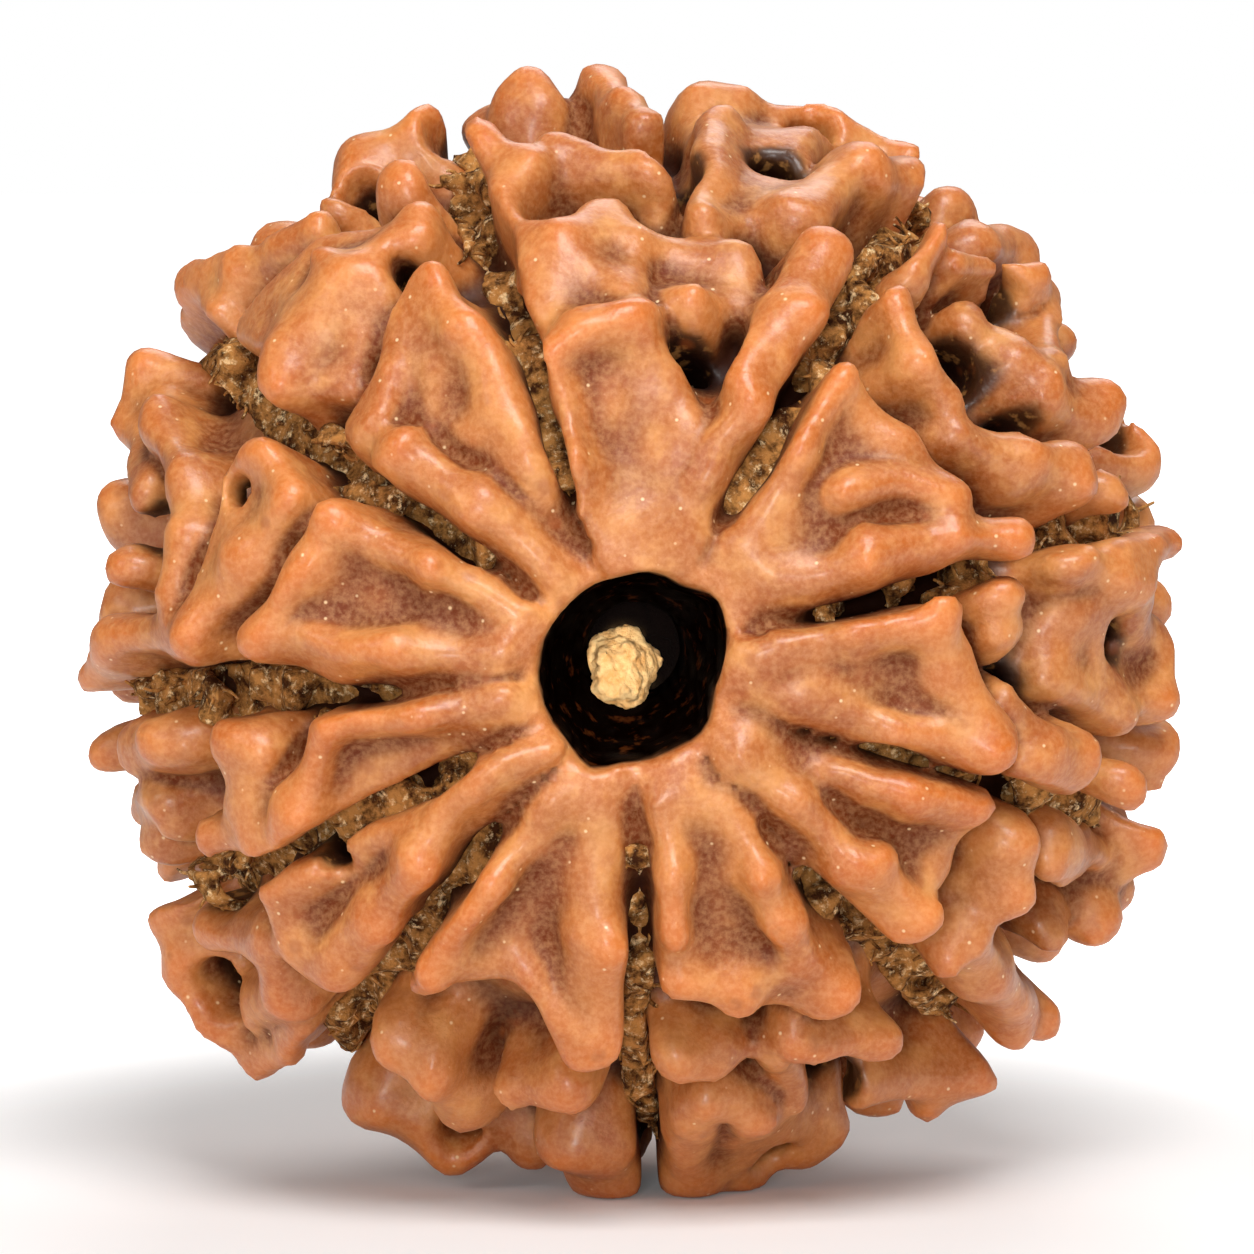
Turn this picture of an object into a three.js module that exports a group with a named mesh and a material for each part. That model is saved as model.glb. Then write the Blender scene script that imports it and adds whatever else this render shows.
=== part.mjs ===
// A rudraksha seed: the knobbly stone of a blue marble tree fruit, lying on its side so that its
// string hole runs from front to back. Millimetres, +Z up, the floor is z = 0 and the front is -Y.
// The stone is one solid. Ten grooves run round it from mouth to mouth, with dried pulp in each,
// and a plug of pith is left in the narrow middle of the string hole.
import * as THREE from "three";

// The stone's body, an ellipsoid. Heights are measured from it. The valleys between its knobs are
// sunk below it, more and more on the way out from the mouths.
const BODY_RADIUS = 12.2;
const BODY_HALF_DEPTH = 10.6;
const VALLEY_DEPTH = 0.8;
const VALLEY_STARTS = THREE.MathUtils.degToRad(24);
const VALLEY_IS_DEEP = THREE.MathUtils.degToRad(56);
const MIDDLE = new THREE.Vector3(0.16, 0.06, 13.9);
const MOST_RADIUS = 16;

// The knobs are given as seen from the front, from a little above the string hole's line
const VIEW_RISE = THREE.MathUtils.degToRad(5);
const TOWARDS_VIEW = new THREE.Vector3(0, -Math.cos(VIEW_RISE), Math.sin(VIEW_RISE));
const HOLE_IN_VIEW = -BODY_HALF_DEPTH * Math.sin(VIEW_RISE);

// How softly neighbours run into each other, and pits into what they are sunk in
const FILLET = 0.38;
const PIT_FILLET = 0.3;
const PLATE_RADIUS = 0.5;
const PLATE_SINKS = 0.25;

// Each groove's place in degrees, anticlockwise from the right: beside the front mouth, and half
// way back, where they all turn a little to the left
const GROOVES = [
  [16, 13.5],
  [60, 56],
  [109, 108.5],
  [146, 145.5],
  [185, 188],
  [210, 209.5],
  [230, 233.5],
  [270.5, 271],
  [309, 311.5],
  [341, 340.5],
];
const GROOVE_HALF_WIDTH = 0.42;
const GROOVE_WALL = 0.45;
const GROOVE_DEPTH = 1.0;
const GROOVE_STARTS = THREE.MathUtils.degToRad(13);
const GROOVE_IS_DEEP = THREE.MathUtils.degToRad(34);
const GROOVE_WANDER = 0.2;
const GROOVE_TWIST = THREE.MathUtils.degToRad(5);
const TWIST_FROM = THREE.MathUtils.degToRad(88);
const TWIST_TO = THREE.MathUtils.degToRad(108);

// The front mouth's rim, [x, z] from the hole's axis
const FRONT_MOUTH = [
  [0.3, 2.4],
  [1.15, 1.95],
  [1.95, 1.7],
  [2.2, 0.45],
  [1.85, -0.55],
  [1.65, -1.5],
  [0.8, -2.0],
  [-0.35, -2.3],
  [-1.0, -2.45],
  [-1.6, -1.7],
  [-2.2, -0.8],
  [-2.15, 0.7],
  [-1.7, 1.4],
  [-0.85, 2.1],
];
const MOUTH_RADIUS = 2.2;

// Worn ridges under the stone that it lies on, one on each side of the lowest groove:
// [sector, x, from y, to y, depth, radius]
const FEET = [
  [6, -0.9, -2.2, 3.2, 13.3, 1.0],
  [7, 1.5, -2.2, 3.2, 13.3, 1.0],
];

// The string hole from the front mouth to the back one: [depth, radius, share of the mouth's own outline].
// A depth below zero is measured from the back mouth.
const HOLE_STATIONS = [
  [0.6, 2.15, 1],
  [2.4, 1.98, 0.9],
  [3.8, 1.5, 0.5],
  [4.6, 1.18, 0.1],
  [6.6, 1.15, 0],
  [-4, 1.15, 0],
  [-1.2, 1.25, 0.4],
];
const BACK_MOUTH_RADIUS = 1.45;
const BACK_MOUTH_SHARE = 0.5;

// The grid that covers the stone
const COLUMNS_IN_ALL = 88;
const ROWS = 44;
const ROW_STEP = 0.033;
const EVENING = [-0.5, 0, 0.5];

// Pith left in the neck of the string hole
const PITH_DEPTH = [4.6, 6.9];
const PITH_RADIUS = 0.84;
const PITH_END = 0.45;
const PITH_STATIONS = 7;
const PITH_SIDES = 14;

// Dried pulp on the floor of each groove
const PULP_FROM = THREE.MathUtils.degToRad(30);
const PULP_TO = THREE.MathUtils.degToRad(146);
const PULP_STATIONS = 17;
const PULP_HALF_WIDTH = 0.25;
const PULP_GAP = 0.32;
const PULP_SECTION = [
  [-1, 0],
  [1, 0],
  [1.05, 0.55],
  [0.45, 1],
  [-0.45, 0.95],
  [-1.05, 0.5],
];
const PULP_HEIGHT = 0.65;

// The knobs of the front half, sector by sector between the grooves, anticlockwise from the right.
// A point is [x, z, radius, height of its top above the body], with x and z from the hole's axis.
// A plate is a fan of flat stretches from its first point: [x, z, height of its top].
const FRONT_SECTORS = [
  {
    plates: [
      [
        [2.9, 2.4, 0.4], [3.7, 5.3, 1.3], [5.0, 6.7, 1.7], [6.4, 5.3, 1.5], [7.3, 4.0, 1.4],
        [7.3, 2.9, 1.1], [3.6, 2.2, 0.7],
      ],
    ],
    ridges: [
      [[2.6, 2.9, 0.35, 0.5], [3.9, 5.4, 0.5, 1.5], [5.0, 7.0, 0.55, 2.0]],
      [[3.4, 2.2, 0.35, 0.6], [5.4, 2.7, 0.5, 1.4], [7.4, 3.1, 0.6, 1.6], [9.0, 3.1, 0.6, 1.9]],
      [[5.0, 4.3, 0.5, 1.4], [7.4, 4.1, 0.6, 1.7]],
      [[6.2, 8.9, 0.5, 1.5], [6.6, 7.6, 0.6, 1.4], [7.3, 6.7, 0.6, 1.1]],
      [[6.6, 9.5, 0.75, 1.4], [7.0, 10.4, 0.8, 1.9]],
      [[8.1, 9.8, 0.4, 1.5], [9.9, 9.5, 0.4, 1.6], [10.4, 9.2, 0.45, 1.6], [10.3, 7.5, 0.55, 1.5]],
      [[7.7, 5.7, 0.75, 1.1], [9.1, 4.95, 0.85, 1.4], [10.4, 4.45, 0.95, 1.7]],
      [[9.1, 7.4, 0.9, 1.2], [9.8, 6.6, 0.9, 1.3], [11.0, 6.3, 0.95, 1.7]],
      [[8.4, 10.6, 0.7, 1.6], [9.2, 10.6, 0.5, 1.6]],
    ],
    knobs: [[12.3, 5.2, 0.9, 1.7], [11.7, 4.5, 0.5, 1.3], [8.3, 8.5, 0.5, 1.0]],
    pits: [[7.9, 7.4, 0.55], [8.9, 9.05, 0.3], [11.7, 5.7, 0.4], [9.3, 5.7, 0.35]],
  },
  {
    plates: [
      [
        [0.1, 2.8, 0.4], [-1.2, 3.2, 0.6], [-1.7, 5.4, 1.3], [-2.0, 7.3, 1.7], [-1.4, 7.9, 1.9],
        [0.2, 7.9, 1.7], [1.2, 5.6, 1.1], [1.3, 3.2, 0.6],
      ],
      [
        [-1.6, 9.9, 1.5], [-3.2, 10.6, 1.6], [-3.1, 9.2, 1.5], [-2.2, 8.5, 1.4], [-0.2, 8.8, 1.5],
        [0.1, 10.1, 1.6], [-0.9, 10.8, 1.6],
      ],
      [[0.6, 9.8, 1.0], [2.6, 9.8, 1.2], [2.6, 8.9, 1.0], [0.8, 8.8, 0.9]],
      [[1.6, 13.9, 1.4], [2.2, 10.9, 1.1], [3.3, 11.0, 1.0], [4.7, 13.4, 1.4]],
    ],
    ridges: [
      [
        [-0.9, 2.7, 0.35, 0.5], [-1.6, 4.8, 0.5, 1.3], [-2.1, 7.4, 0.6, 1.9],
        [-1.5, 8.0, 0.6, 2.1], [0.1, 8.0, 0.5, 1.8],
      ],
      [[1.6, 4.3, 0.35, 0.9], [2.65, 6.2, 0.6, 1.5], [3.8, 8.6, 0.7, 1.8], [4.65, 10.1, 0.7, 2.0]],
      [[-3.6, 12.6, 0.5, 1.9], [-2.85, 11.9, 0.55, 1.6], [-3.4, 10.8, 0.6, 1.6]],
      [[-1.8, 12.1, 0.7, 1.3], [0.2, 11.9, 0.75, 1.5]],
      [[-0.8, 14.6, 0.5, 1.8], [-0.2, 13.9, 0.5, 1.5], [0.3, 13.3, 0.5, 1.2]],
      [[1.6, 13.9, 0.6, 1.5], [4.7, 13.5, 0.6, 1.6]],
      [[2.0, 13.4, 0.6, 1.4], [1.9, 10.8, 0.65, 1.2]],
      [[3.9, 11.1, 0.75, 1.4], [5.6, 11.9, 0.85, 1.6], [6.7, 11.9, 0.85, 1.8]],
      [[4.9, 13.6, 0.5, 1.5], [6.6, 12.6, 0.55, 1.7], [7.4, 12.0, 0.5, 1.5]],
    ],
    knobs: [[1.3, 8.6, 0.75, 1.3], [-2.6, 13.7, 0.9, 1.7], [-2.8, 14.4, 0.6, 1.8], [1.9, 14.2, 0.6, 1.8]],
    pits: [[0.9, 12.0, 0.42], [3.4, 12.2, 0.5], [4.1, 12.9, 0.45], [1.2, 7.4, 0.35]],
  },
  {
    plates: [
      [[-4.7, 9.2, 1.9], [-6.3, 6.0, 1.2], [-4.6, 5.9, 1.1], [-2.6, 5.0, 1.2], [-3.4, 7.4, 1.6]],
      [
        [-8.2, 7.4, 1.5], [-9.3, 8.4, 1.4], [-7.4, 9.9, 1.6], [-5.3, 10.5, 1.6], [-6.1, 8.5, 1.2],
        [-6.9, 7.0, 1.2],
      ],
    ],
    ridges: [
      [[-2.0, 2.5, 0.3, 0.5], [-3.5, 3.9, 0.6, 1.3], [-5.3, 5.1, 0.75, 1.7]],
      [[-4.7, 9.5, 0.45, 2.1], [-3.8, 8.0, 0.5, 1.8], [-2.5, 5.6, 0.5, 1.3]],
      [[-5.8, 7.2, 0.4, 1.4], [-6.2, 5.7, 0.45, 1.3]],
      [[-8.3, 7.2, 0.9, 1.8], [-6.9, 9.0, 0.75, 1.7], [-5.2, 10.6, 0.65, 1.7]],
      [[-7.6, 10.6, 0.6, 1.5], [-9.6, 9.6, 0.65, 1.6], [-10.9, 9.7, 0.5, 1.8]],
      [[-10.9, 9.6, 0.5, 1.8], [-10.2, 8.6, 0.5, 1.3]],
      [[-5.3, 13.3, 1.05, 1.6], [-6.7, 12.8, 0.8, 1.6], [-7.3, 11.4, 0.6, 1.3]],
    ],
    knobs: [[-5.5, 11.6, 0.65, 1.7], [-7.4, 9.7, 0.4, 1.9]],
    pits: [[-6.6, 11.5, 0.45], [-5.4, 9.2, 0.35], [-4.3, 12.8, 0.4]],
  },
  {
    plates: [
      [[-2.7, 0.9, 0.4], [-6.8, 3.4, 1.6], [-8.8, 0.8, 1.6], [-8.2, 0.3, 1.4], [-3.4, 0.3, 0.6]],
      [[-9.2, 4.6, 1.4], [-8.2, 3.9, 1.3], [-9.4, 2.2, 1.3], [-10.4, 1.0, 1.4]],
    ],
    ridges: [
      [[-2.6, 1.3, 0.35, 0.5], [-4.8, 2.4, 0.5, 1.3], [-6.8, 3.5, 0.55, 1.9]],
      [[-6.8, 3.5, 0.55, 1.9], [-8.7, 0.9, 0.55, 1.8]],
      [[-2.9, 0.5, 0.35, 0.5], [-5.5, 0.6, 0.5, 1.3], [-8.6, 0.5, 0.6, 1.7]],
      [
        [-9.5, 4.4, 0.45, 1.5], [-9.0, 5.0, 0.45, 1.6], [-8.1, 3.9, 0.5, 1.4],
        [-9.2, 2.6, 0.55, 1.5], [-10.5, 0.8, 0.65, 1.7],
      ],
      [
        [-11.6, 6.6, 0.7, 1.4], [-11.5, 5.9, 0.65, 1.4], [-11.0, 4.7, 0.65, 1.4],
        [-10.8, 3.2, 0.6, 1.3], [-11.1, 1.7, 0.6, 1.4],
      ],
      [[-12.1, 7.5, 0.55, 1.7], [-12.5, 6.0, 0.55, 1.5], [-12.1, 4.5, 0.55, 1.4]],
      [[-11.0, 0.9, 0.6, 1.3], [-12.7, 0.5, 0.55, 1.5], [-13.6, -0.1, 0.45, 1.6]],
    ],
    knobs: [[-12.3, 2.7, 0.6, 1.4]],
    pits: [[-9.15, 4.15, 0.3], [-11.6, 3.6, 0.35]],
  },
  {
    plates: [
      [[-2.9, -0.6, 0.4], [-6.8, -1.5, 1.3], [-8.0, -3.2, 1.6], [-8.0, -4.4, 1.5], [-5.6, -2.8, 1.0]],
    ],
    ridges: [
      [
        [-2.9, -0.6, 0.35, 0.5], [-5.0, -1.1, 0.5, 1.3], [-7.2, -1.4, 0.5, 1.8],
        [-8.1, -3.3, 0.6, 1.8], [-8.1, -4.5, 0.5, 1.6],
      ],
      [[-9.2, -1.9, 1.05, 1.7], [-9.0, -3.4, 0.8, 1.5], [-8.7, -4.1, 0.5, 1.4]],
      [[-9.0, -3.9, 0.5, 1.4], [-10.2, -4.2, 0.45, 1.5]],
      [[-11.3, -1.7, 0.9, 1.5], [-12.1, -1.9, 0.9, 1.5]],
      [[-11.1, -3.4, 0.9, 1.2], [-12.2, -3.3, 0.7, 1.4]],
    ],
    knobs: [[-13.3, -2.1, 0.6, 1.6], [-11.6, -4.3, 0.7, 1.3]],
    pits: [[-7.0, -4.4, 0.25]],
  },
  {
    plates: [
      [[-3.0, -2.3, 0.5], [-5.4, -3.6, 1.2], [-7.8, -5.0, 1.5], [-7.3, -6.9, 1.6], [-5.2, -4.6, 1.4]],
    ],
    ridges: [
      [
        [-1.9, -2.0, 0.35, 0.5], [-3.8, -2.8, 0.5, 1.2], [-5.1, -4.5, 0.6, 1.7],
        [-6.3, -6.0, 0.6, 1.9], [-7.2, -7.0, 0.6, 1.9],
      ],
      [[-8.3, -4.9, 0.7, 1.5], [-7.8, -6.2, 0.8, 1.6]],
      [
        [-10.4, -6.5, 0.55, 1.6], [-8.7, -6.3, 0.6, 1.4], [-8.2, -7.7, 0.75, 1.5],
        [-9.1, -8.3, 0.75, 1.6],
      ],
      [
        [-11.2, -5.0, 0.7, 1.4], [-11.4, -6.2, 0.7, 1.5], [-11.0, -7.5, 0.7, 1.5],
        [-10.4, -8.5, 0.65, 1.6],
      ],
      [[-10.4, -8.5, 0.65, 1.6], [-9.2, -9.4, 0.6, 1.6], [-7.8, -8.9, 0.6, 1.5]],
    ],
    knobs: [],
    pits: [[-9.7, -7.4, 0.45], [-9.9, -5.6, 0.35]],
  },
  {
    plates: [
      [
        [-1.5, -3.0, 0.5], [-0.9, -6.4, 1.4], [-1.5, -8.2, 1.7], [-2.4, -6.9, 1.3],
        [-4.8, -7.3, 1.7], [-3.4, -4.6, 1.2],
      ],
    ],
    ridges: [
      [[-1.8, -3.1, 0.35, 0.5], [-3.2, -5.0, 0.5, 1.4], [-4.9, -7.3, 0.6, 2.0]],
      [[-1.0, -3.4, 0.3, 0.5], [-0.9, -6.4, 0.5, 1.5], [-1.0, -8.8, 0.6, 2.0]],
      [[-2.3, -7.2, 0.55, 1.4], [-1.1, -8.8, 0.65, 2.0]],
      [[-5.9, -9.1, 0.75, 1.6], [-4.9, -9.4, 0.8, 1.5], [-3.9, -10.4, 0.9, 1.3]],
      [[-6.5, -10.8, 0.95, 1.7], [-4.7, -12.0, 0.8, 1.5]],
      [[-2.8, -10.0, 0.6, 1.2], [-1.6, -10.0, 0.75, 1.6]],
    ],
    knobs: [[-1.1, -11.5, 1.0, 1.6], [-0.9, -12.6, 0.9, 1.7], [-2.9, -11.7, 0.7, 1.2]],
    pits: [[-4.4, -11.1, 0.4]],
  },
  {
    plates: [
      [
        [1.1, -3.0, 0.5], [0.9, -6.2, 1.3], [2.1, -7.3, 1.2], [4.6, -7.4, 1.7], [3.6, -5.7, 1.5],
        [2.4, -3.6, 0.8],
      ],
      [[3.0, -10.6, 1.1], [1.6, -11.0, 1.4], [1.6, -12.7, 1.5], [4.0, -12.2, 1.3], [4.6, -11.3, 1.2]],
    ],
    ridges: [
      [[0.5, -3.2, 0.3, 0.5], [0.8, -4.8, 0.45, 1.3], [0.9, -6.2, 0.5, 1.6]],
      [[2.2, -3.3, 0.35, 0.6], [3.2, -4.8, 0.5, 1.4], [3.7, -6.1, 0.55, 1.7], [4.9, -7.6, 0.7, 2.0]],
      [[0.8, -7.3, 0.55, 1.7], [2.2, -7.4, 0.6, 1.5], [3.8, -6.9, 0.6, 1.5]],
      [[1.2, -9.3, 0.75, 1.5], [2.1, -9.2, 0.75, 1.4]],
      [[4.1, -8.5, 0.65, 1.4], [6.0, -8.9, 0.7, 1.8]],
      [[1.4, -10.8, 0.8, 1.6], [1.5, -12.7, 0.9, 1.7]],
      [[1.9, -10.6, 0.6, 1.6], [2.9, -11.0, 0.45, 1.6], [2.8, -12.0, 0.55, 1.6]],
      [[5.6, -10.4, 0.7, 1.4], [7.9, -10.0, 0.75, 1.7], [8.7, -10.1, 0.5, 1.6]],
      [[3.4, -9.0, 0.5, 1.1], [3.7, -10.4, 0.5, 1.1]],
    ],
    knobs: [[3.0, -12.7, 0.65, 1.5], [7.2, -10.8, 0.65, 1.6], [4.5, -11.6, 0.9, 1.4]],
    pits: [[4.8, -10.2, 0.45], [3.3, -11.6, 0.3]],
  },
  {
    plates: [
      [
        [2.6, -2.1, 0.5], [4.4, -4.6, 1.2], [6.4, -6.0, 1.9], [6.9, -4.8, 1.5], [7.8, -3.5, 1.6],
        [5.0, -2.5, 1.0],
      ],
    ],
    ridges: [
      [[2.5, -1.9, 0.35, 0.5], [3.9, -3.1, 0.5, 1.3], [5.4, -4.6, 0.6, 1.8], [6.5, -6.0, 0.75, 2.2]],
      [[4.6, -2.2, 0.4, 1.0], [6.3, -2.8, 0.5, 1.5], [7.9, -3.4, 0.55, 1.9]],
      [[8.9, -4.4, 0.85, 1.5], [8.8, -5.4, 0.85, 1.6]],
      [[8.0, -6.4, 0.6, 1.3], [8.7, -7.5, 0.75, 1.5], [9.2, -8.5, 0.75, 1.8]],
      [[10.1, -4.5, 0.6, 1.3], [11.6, -4.9, 0.65, 1.4], [12.8, -4.5, 0.6, 1.8]],
    ],
    knobs: [
      [7.5, -7.1, 0.42, 1.4], [10.0, -8.6, 0.5, 1.7], [11.4, -6.2, 0.85, 1.5],
      [10.2, -6.3, 0.7, 1.1],
    ],
    pits: [[9.9, -5.4, 0.35]],
  },
  {
    plates: [
      [
        [3.0, 0.3, 0.4], [7.3, 1.1, 1.7], [7.6, 0.1, 1.4], [8.3, -1.6, 1.7], [6.0, -1.2, 1.1],
        [3.7, -0.6, 0.6],
      ],
      [[10.6, 1.2, 1.0], [11.8, 1.9, 1.4], [12.5, 0.3, 1.2], [11.6, -1.0, 1.0], [10.2, -0.5, 0.9]],
    ],
    ridges: [
      [[3.0, 0.5, 0.35, 0.5], [5.2, 1.0, 0.5, 1.3], [7.3, 1.3, 0.55, 2.0]],
      [[7.3, 1.3, 0.55, 2.0], [7.6, 0.2, 0.5, 1.6], [8.3, -1.6, 0.6, 1.9]],
      [[3.8, -0.7, 0.35, 0.7], [6.0, -1.3, 0.5, 1.3], [8.2, -1.7, 0.55, 1.8]],
      [[8.8, 1.6, 0.85, 1.5], [9.0, 0.8, 0.7, 1.3]],
      [[10.6, 2.5, 0.8, 1.4], [11.8, 1.9, 0.85, 1.5]],
      [[11.6, 2.6, 0.5, 1.4], [13.0, 3.0, 0.5, 1.6]],
      [[12.3, 1.4, 0.6, 1.4], [12.8, 0.4, 0.6, 1.4], [12.7, -0.6, 0.6, 1.4]],
      [[9.4, -2.3, 0.85, 1.6], [10.4, -2.4, 0.85, 1.6]],
      [[9.0, -0.9, 0.6, 1.1], [9.6, -2.0, 0.6, 1.4]],
    ],
    knobs: [[12.7, -2.0, 0.95, 1.6], [12.9, -3.4, 0.6, 1.4], [11.8, -2.9, 0.5, 1.4]],
    pits: [[11.6, 0.6, 0.35], [9.4, -0.2, 0.3]],
  },
];

// The back half's knobs come from a rule: rows across each sector, at these angles from the back mouth
const BACK_SEED = 20;
const BACK_KNOB_ROWS = [52, 68, 84];
const BACK_KNOB_SPACING = 2.9;
const BACK_KNOB_SIZE = 1.6;
const BACK_KNOB_MARGIN = 1.5;
const BACK_KNOB_RADII = [0.65, 1.0];
const BACK_KNOB_TOPS = [0.55, 0.95];
const BACK_KNOBS_JOINED = 0.6;
const BACK_PIT_RADII = [0.3, 0.45];
const JOINT_SUNK = 0.97;
const JOINT_NARROWS = 0.7;
const JOINT_RADIUS = 0.5;

// The fans beside the back mouth: their ribs' places across a sector, and their heights
const BACK_PLATE_FROM = 13;
const BACK_PLATE_TO = 37;
const WIDE_SECTOR = THREE.MathUtils.degToRad(30);
const WIDE_FAN = [0.2, 0.52, 0.82];
const NARROW_FAN = [0.28, 0.74];
const FAN_SPREAD = 0.75;
const FAN_SUNK = 0.975;
const FAN_RADII = [0.5, 0.68];
const FAN_ROOT_RADIUS = 0.35;
const FAN_RISES_FROM = 0.1;
const FAN_TOPS = [1.1, 1.5];

// Mulberry32, so that every draw is the same on each run
let seed = BACK_SEED;
function random() {
  seed = (seed + 0x6d2b79f5) | 0;
  let t = Math.imul(seed ^ (seed >>> 15), 1 | seed);
  t = (t + Math.imul(t ^ (t >>> 7), 61 | t)) ^ t;
  return ((t ^ (t >>> 14)) >>> 0) / 4294967296;
}

const between = (low, high) => low + (high - low) * random();
const { lerp, clamp, degToRad, smoothstep } = THREE.MathUtils;

// The way from the stone's middle at an angle from the front mouth, and round the hole's axis
function direction(fromFront, around) {
  const across = Math.sin(fromFront);
  return new THREE.Vector3(across * Math.cos(around), -Math.cos(fromFront), across * Math.sin(around));
}

// How far the body, grown by lift, reaches along a direction
function bodyReach(way, lift = 0) {
  const across = Math.hypot(way.x, way.z) / (BODY_RADIUS + lift);
  return 1 / Math.hypot(across, way.y / (BODY_HALF_DEPTH + lift));
}

// The point on the body, grown by lift, that the front view shows at x, z.
// Outside the body's outline it is the point abreast of the middle.
function seenAt(x, z, lift) {
  const rise = z + HOLE_IN_VIEW;
  const foot = new THREE.Vector3(x, rise * Math.sin(VIEW_RISE), rise * Math.cos(VIEW_RISE));
  const size = new THREE.Vector3(BODY_RADIUS + lift, BODY_HALF_DEPTH + lift, BODY_RADIUS + lift);
  const start = foot.clone().divide(size);
  const step = TOWARDS_VIEW.clone().divide(size);
  const half = start.dot(step);
  const inside = half * half - step.lengthSq() * (start.lengthSq() - 1);
  const along = inside > 0 ? (-half + Math.sqrt(inside)) / step.lengthSq() : 0;
  return foot.addScaledVector(TOWARDS_VIEW, along);
}

// The solids that stand on the body, each list for one sector: balls swept along a line, and flat
// stretches with a round edge
const lobes = GROOVES.map(() => []);
const pits = [];

function addSweep(sector, from, to, fromRadius, toRadius) {
  const centre = from.clone().lerp(to, 0.5);
  const reach = from.distanceTo(to) / 2 + Math.max(fromRadius, toRadius) + FILLET;
  lobes[sector].push({ from, to, fromRadius, toRadius, centre, reach });
}

function addFlat(sector, corners, radius) {
  const centre = new THREE.Vector3();
  corners.forEach((corner) => centre.addScaledVector(corner, 1 / 3));
  const reach = Math.max(...corners.map((corner) => corner.distanceTo(centre))) + radius + FILLET;
  lobes[sector].push({ triangle: new THREE.Triangle(...corners), radius, centre, reach });
}

function addRidge(sector, points) {
  const centres = points.map(([x, z, radius, top]) => seenAt(x, z, top - radius));
  for (let i = 0; i < Math.max(points.length - 1, 1); i++) {
    const j = Math.min(i + 1, points.length - 1);
    addSweep(sector, centres[i], centres[j], points[i][2], points[j][2]);
  }
}

function addPlate(sector, points) {
  const corners = points.map(([x, z, top]) => seenAt(x, z, top - PLATE_RADIUS - PLATE_SINKS));
  for (let i = 2; i < corners.length; i++) {
    addFlat(sector, [corners[0], corners[i - 1], corners[i]], PLATE_RADIUS);
  }
}

function addFront() {
  FRONT_SECTORS.forEach((own, sector) => {
    own.plates.forEach((points) => addPlate(sector, points));
    own.ridges.forEach((points) => addRidge(sector, points));
    own.knobs.forEach((knob) => addRidge(sector, [knob]));
    own.pits.forEach(([x, z, radius]) => pits.push({ centre: seenAt(x, z, 0.1), radius }));
  });
}

function addFeet() {
  for (const [sector, x, from, to, depth, radius] of FEET) {
    const ends = [from, to].map((y) => new THREE.Vector3(x, y, -depth));
    addSweep(sector, ...ends, radius, radius);
  }
}

// Each sector of the back: a plate that fans out from the mouth, then rows of knobs,
// some of them joined to a knob of the row before
function addBack() {
  GROOVES.forEach(([, start], sector) => {
    const next = GROOVES[(sector + 1) % GROOVES.length][1];
    const width = degToRad((next - start + 360) % 360);
    const edge = degToRad(start) + GROOVE_TWIST;
    const place = (share, fromBack, lift) => {
      const way = direction(Math.PI - degToRad(fromBack), edge + width * share);
      return way.multiplyScalar(bodyReach(way, lift));
    };
    const root = place(0.5, BACK_PLATE_FROM, 0);
    const ends = (width > WIDE_SECTOR ? WIDE_FAN : NARROW_FAN).map((share) => {
      const radius = between(...FAN_RADII);
      const from = place(lerp(0.5, share, FAN_SPREAD), BACK_PLATE_FROM - 1, FAN_RISES_FROM);
      const across = share + between(-0.04, 0.04);
      const to = place(across, BACK_PLATE_TO + between(-5, 5), between(...FAN_TOPS));
      addSweep(sector, from, to, FAN_ROOT_RADIUS, radius);
      return to;
    });
    for (let j = 1; j < ends.length; j++) {
      const inner = [root, ends[j - 1], ends[j]].map((end) => end.clone().multiplyScalar(FAN_SUNK));
      addFlat(sector, inner, PLATE_RADIUS);
    }
    let before = ends;
    for (const fromBack of BACK_KNOB_ROWS) {
      const length = width * BODY_RADIUS * Math.sin(degToRad(fromBack));
      const margin = BACK_KNOB_MARGIN / length;
      const count = Math.max(1, Math.round((length - BACK_KNOB_SIZE) / BACK_KNOB_SPACING) + 1);
      const row = [];
      for (let j = 0; j < count; j++) {
        const share = count === 1 ? 0.5 : lerp(margin, 1 - margin, j / (count - 1));
        const radius = between(...BACK_KNOB_RADII);
        const across = share + between(-0.03, 0.03);
        const at = place(across, fromBack + between(-4, 4), between(...BACK_KNOB_TOPS));
        row.push(at);
        addSweep(sector, at, at, radius, radius);
        if (random() < BACK_KNOBS_JOINED) {
          const joined = before.reduce((a, b) => (a.distanceTo(at) < b.distanceTo(at) ? a : b));
          const root = joined.clone().multiplyScalar(JOINT_SUNK);
          addSweep(sector, at, root, radius * JOINT_NARROWS, JOINT_RADIUS);
        } else {
          const centre = place(share + 0.12, fromBack - 8, 0.1);
          pits.push({ centre, radius: between(...BACK_PIT_RADII) });
        }
      }
      before = row;
    }
  });
}

function sweepDistance(point, { from, to, fromRadius, toRadius }) {
  const line = to.clone().sub(from);
  const offset = point.clone().sub(from);
  const share = line.lengthSq() > 0 ? clamp(offset.dot(line) / line.lengthSq(), 0, 1) : 0;
  return offset.addScaledVector(line, -share).length() - lerp(fromRadius, toRadius, share);
}

const nearest = new THREE.Vector3();
function lobeDistance(point, lobe) {
  if (!lobe.triangle) return sweepDistance(point, lobe);
  return lobe.triangle.closestPointToPoint(point, nearest).distanceTo(point) - lobe.radius;
}

function smoothMin(a, b, size) {
  const mix = Math.max(size - Math.abs(a - b), 0) / size;
  return Math.min(a, b) - (mix * mix * size) / 4;
}

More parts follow.
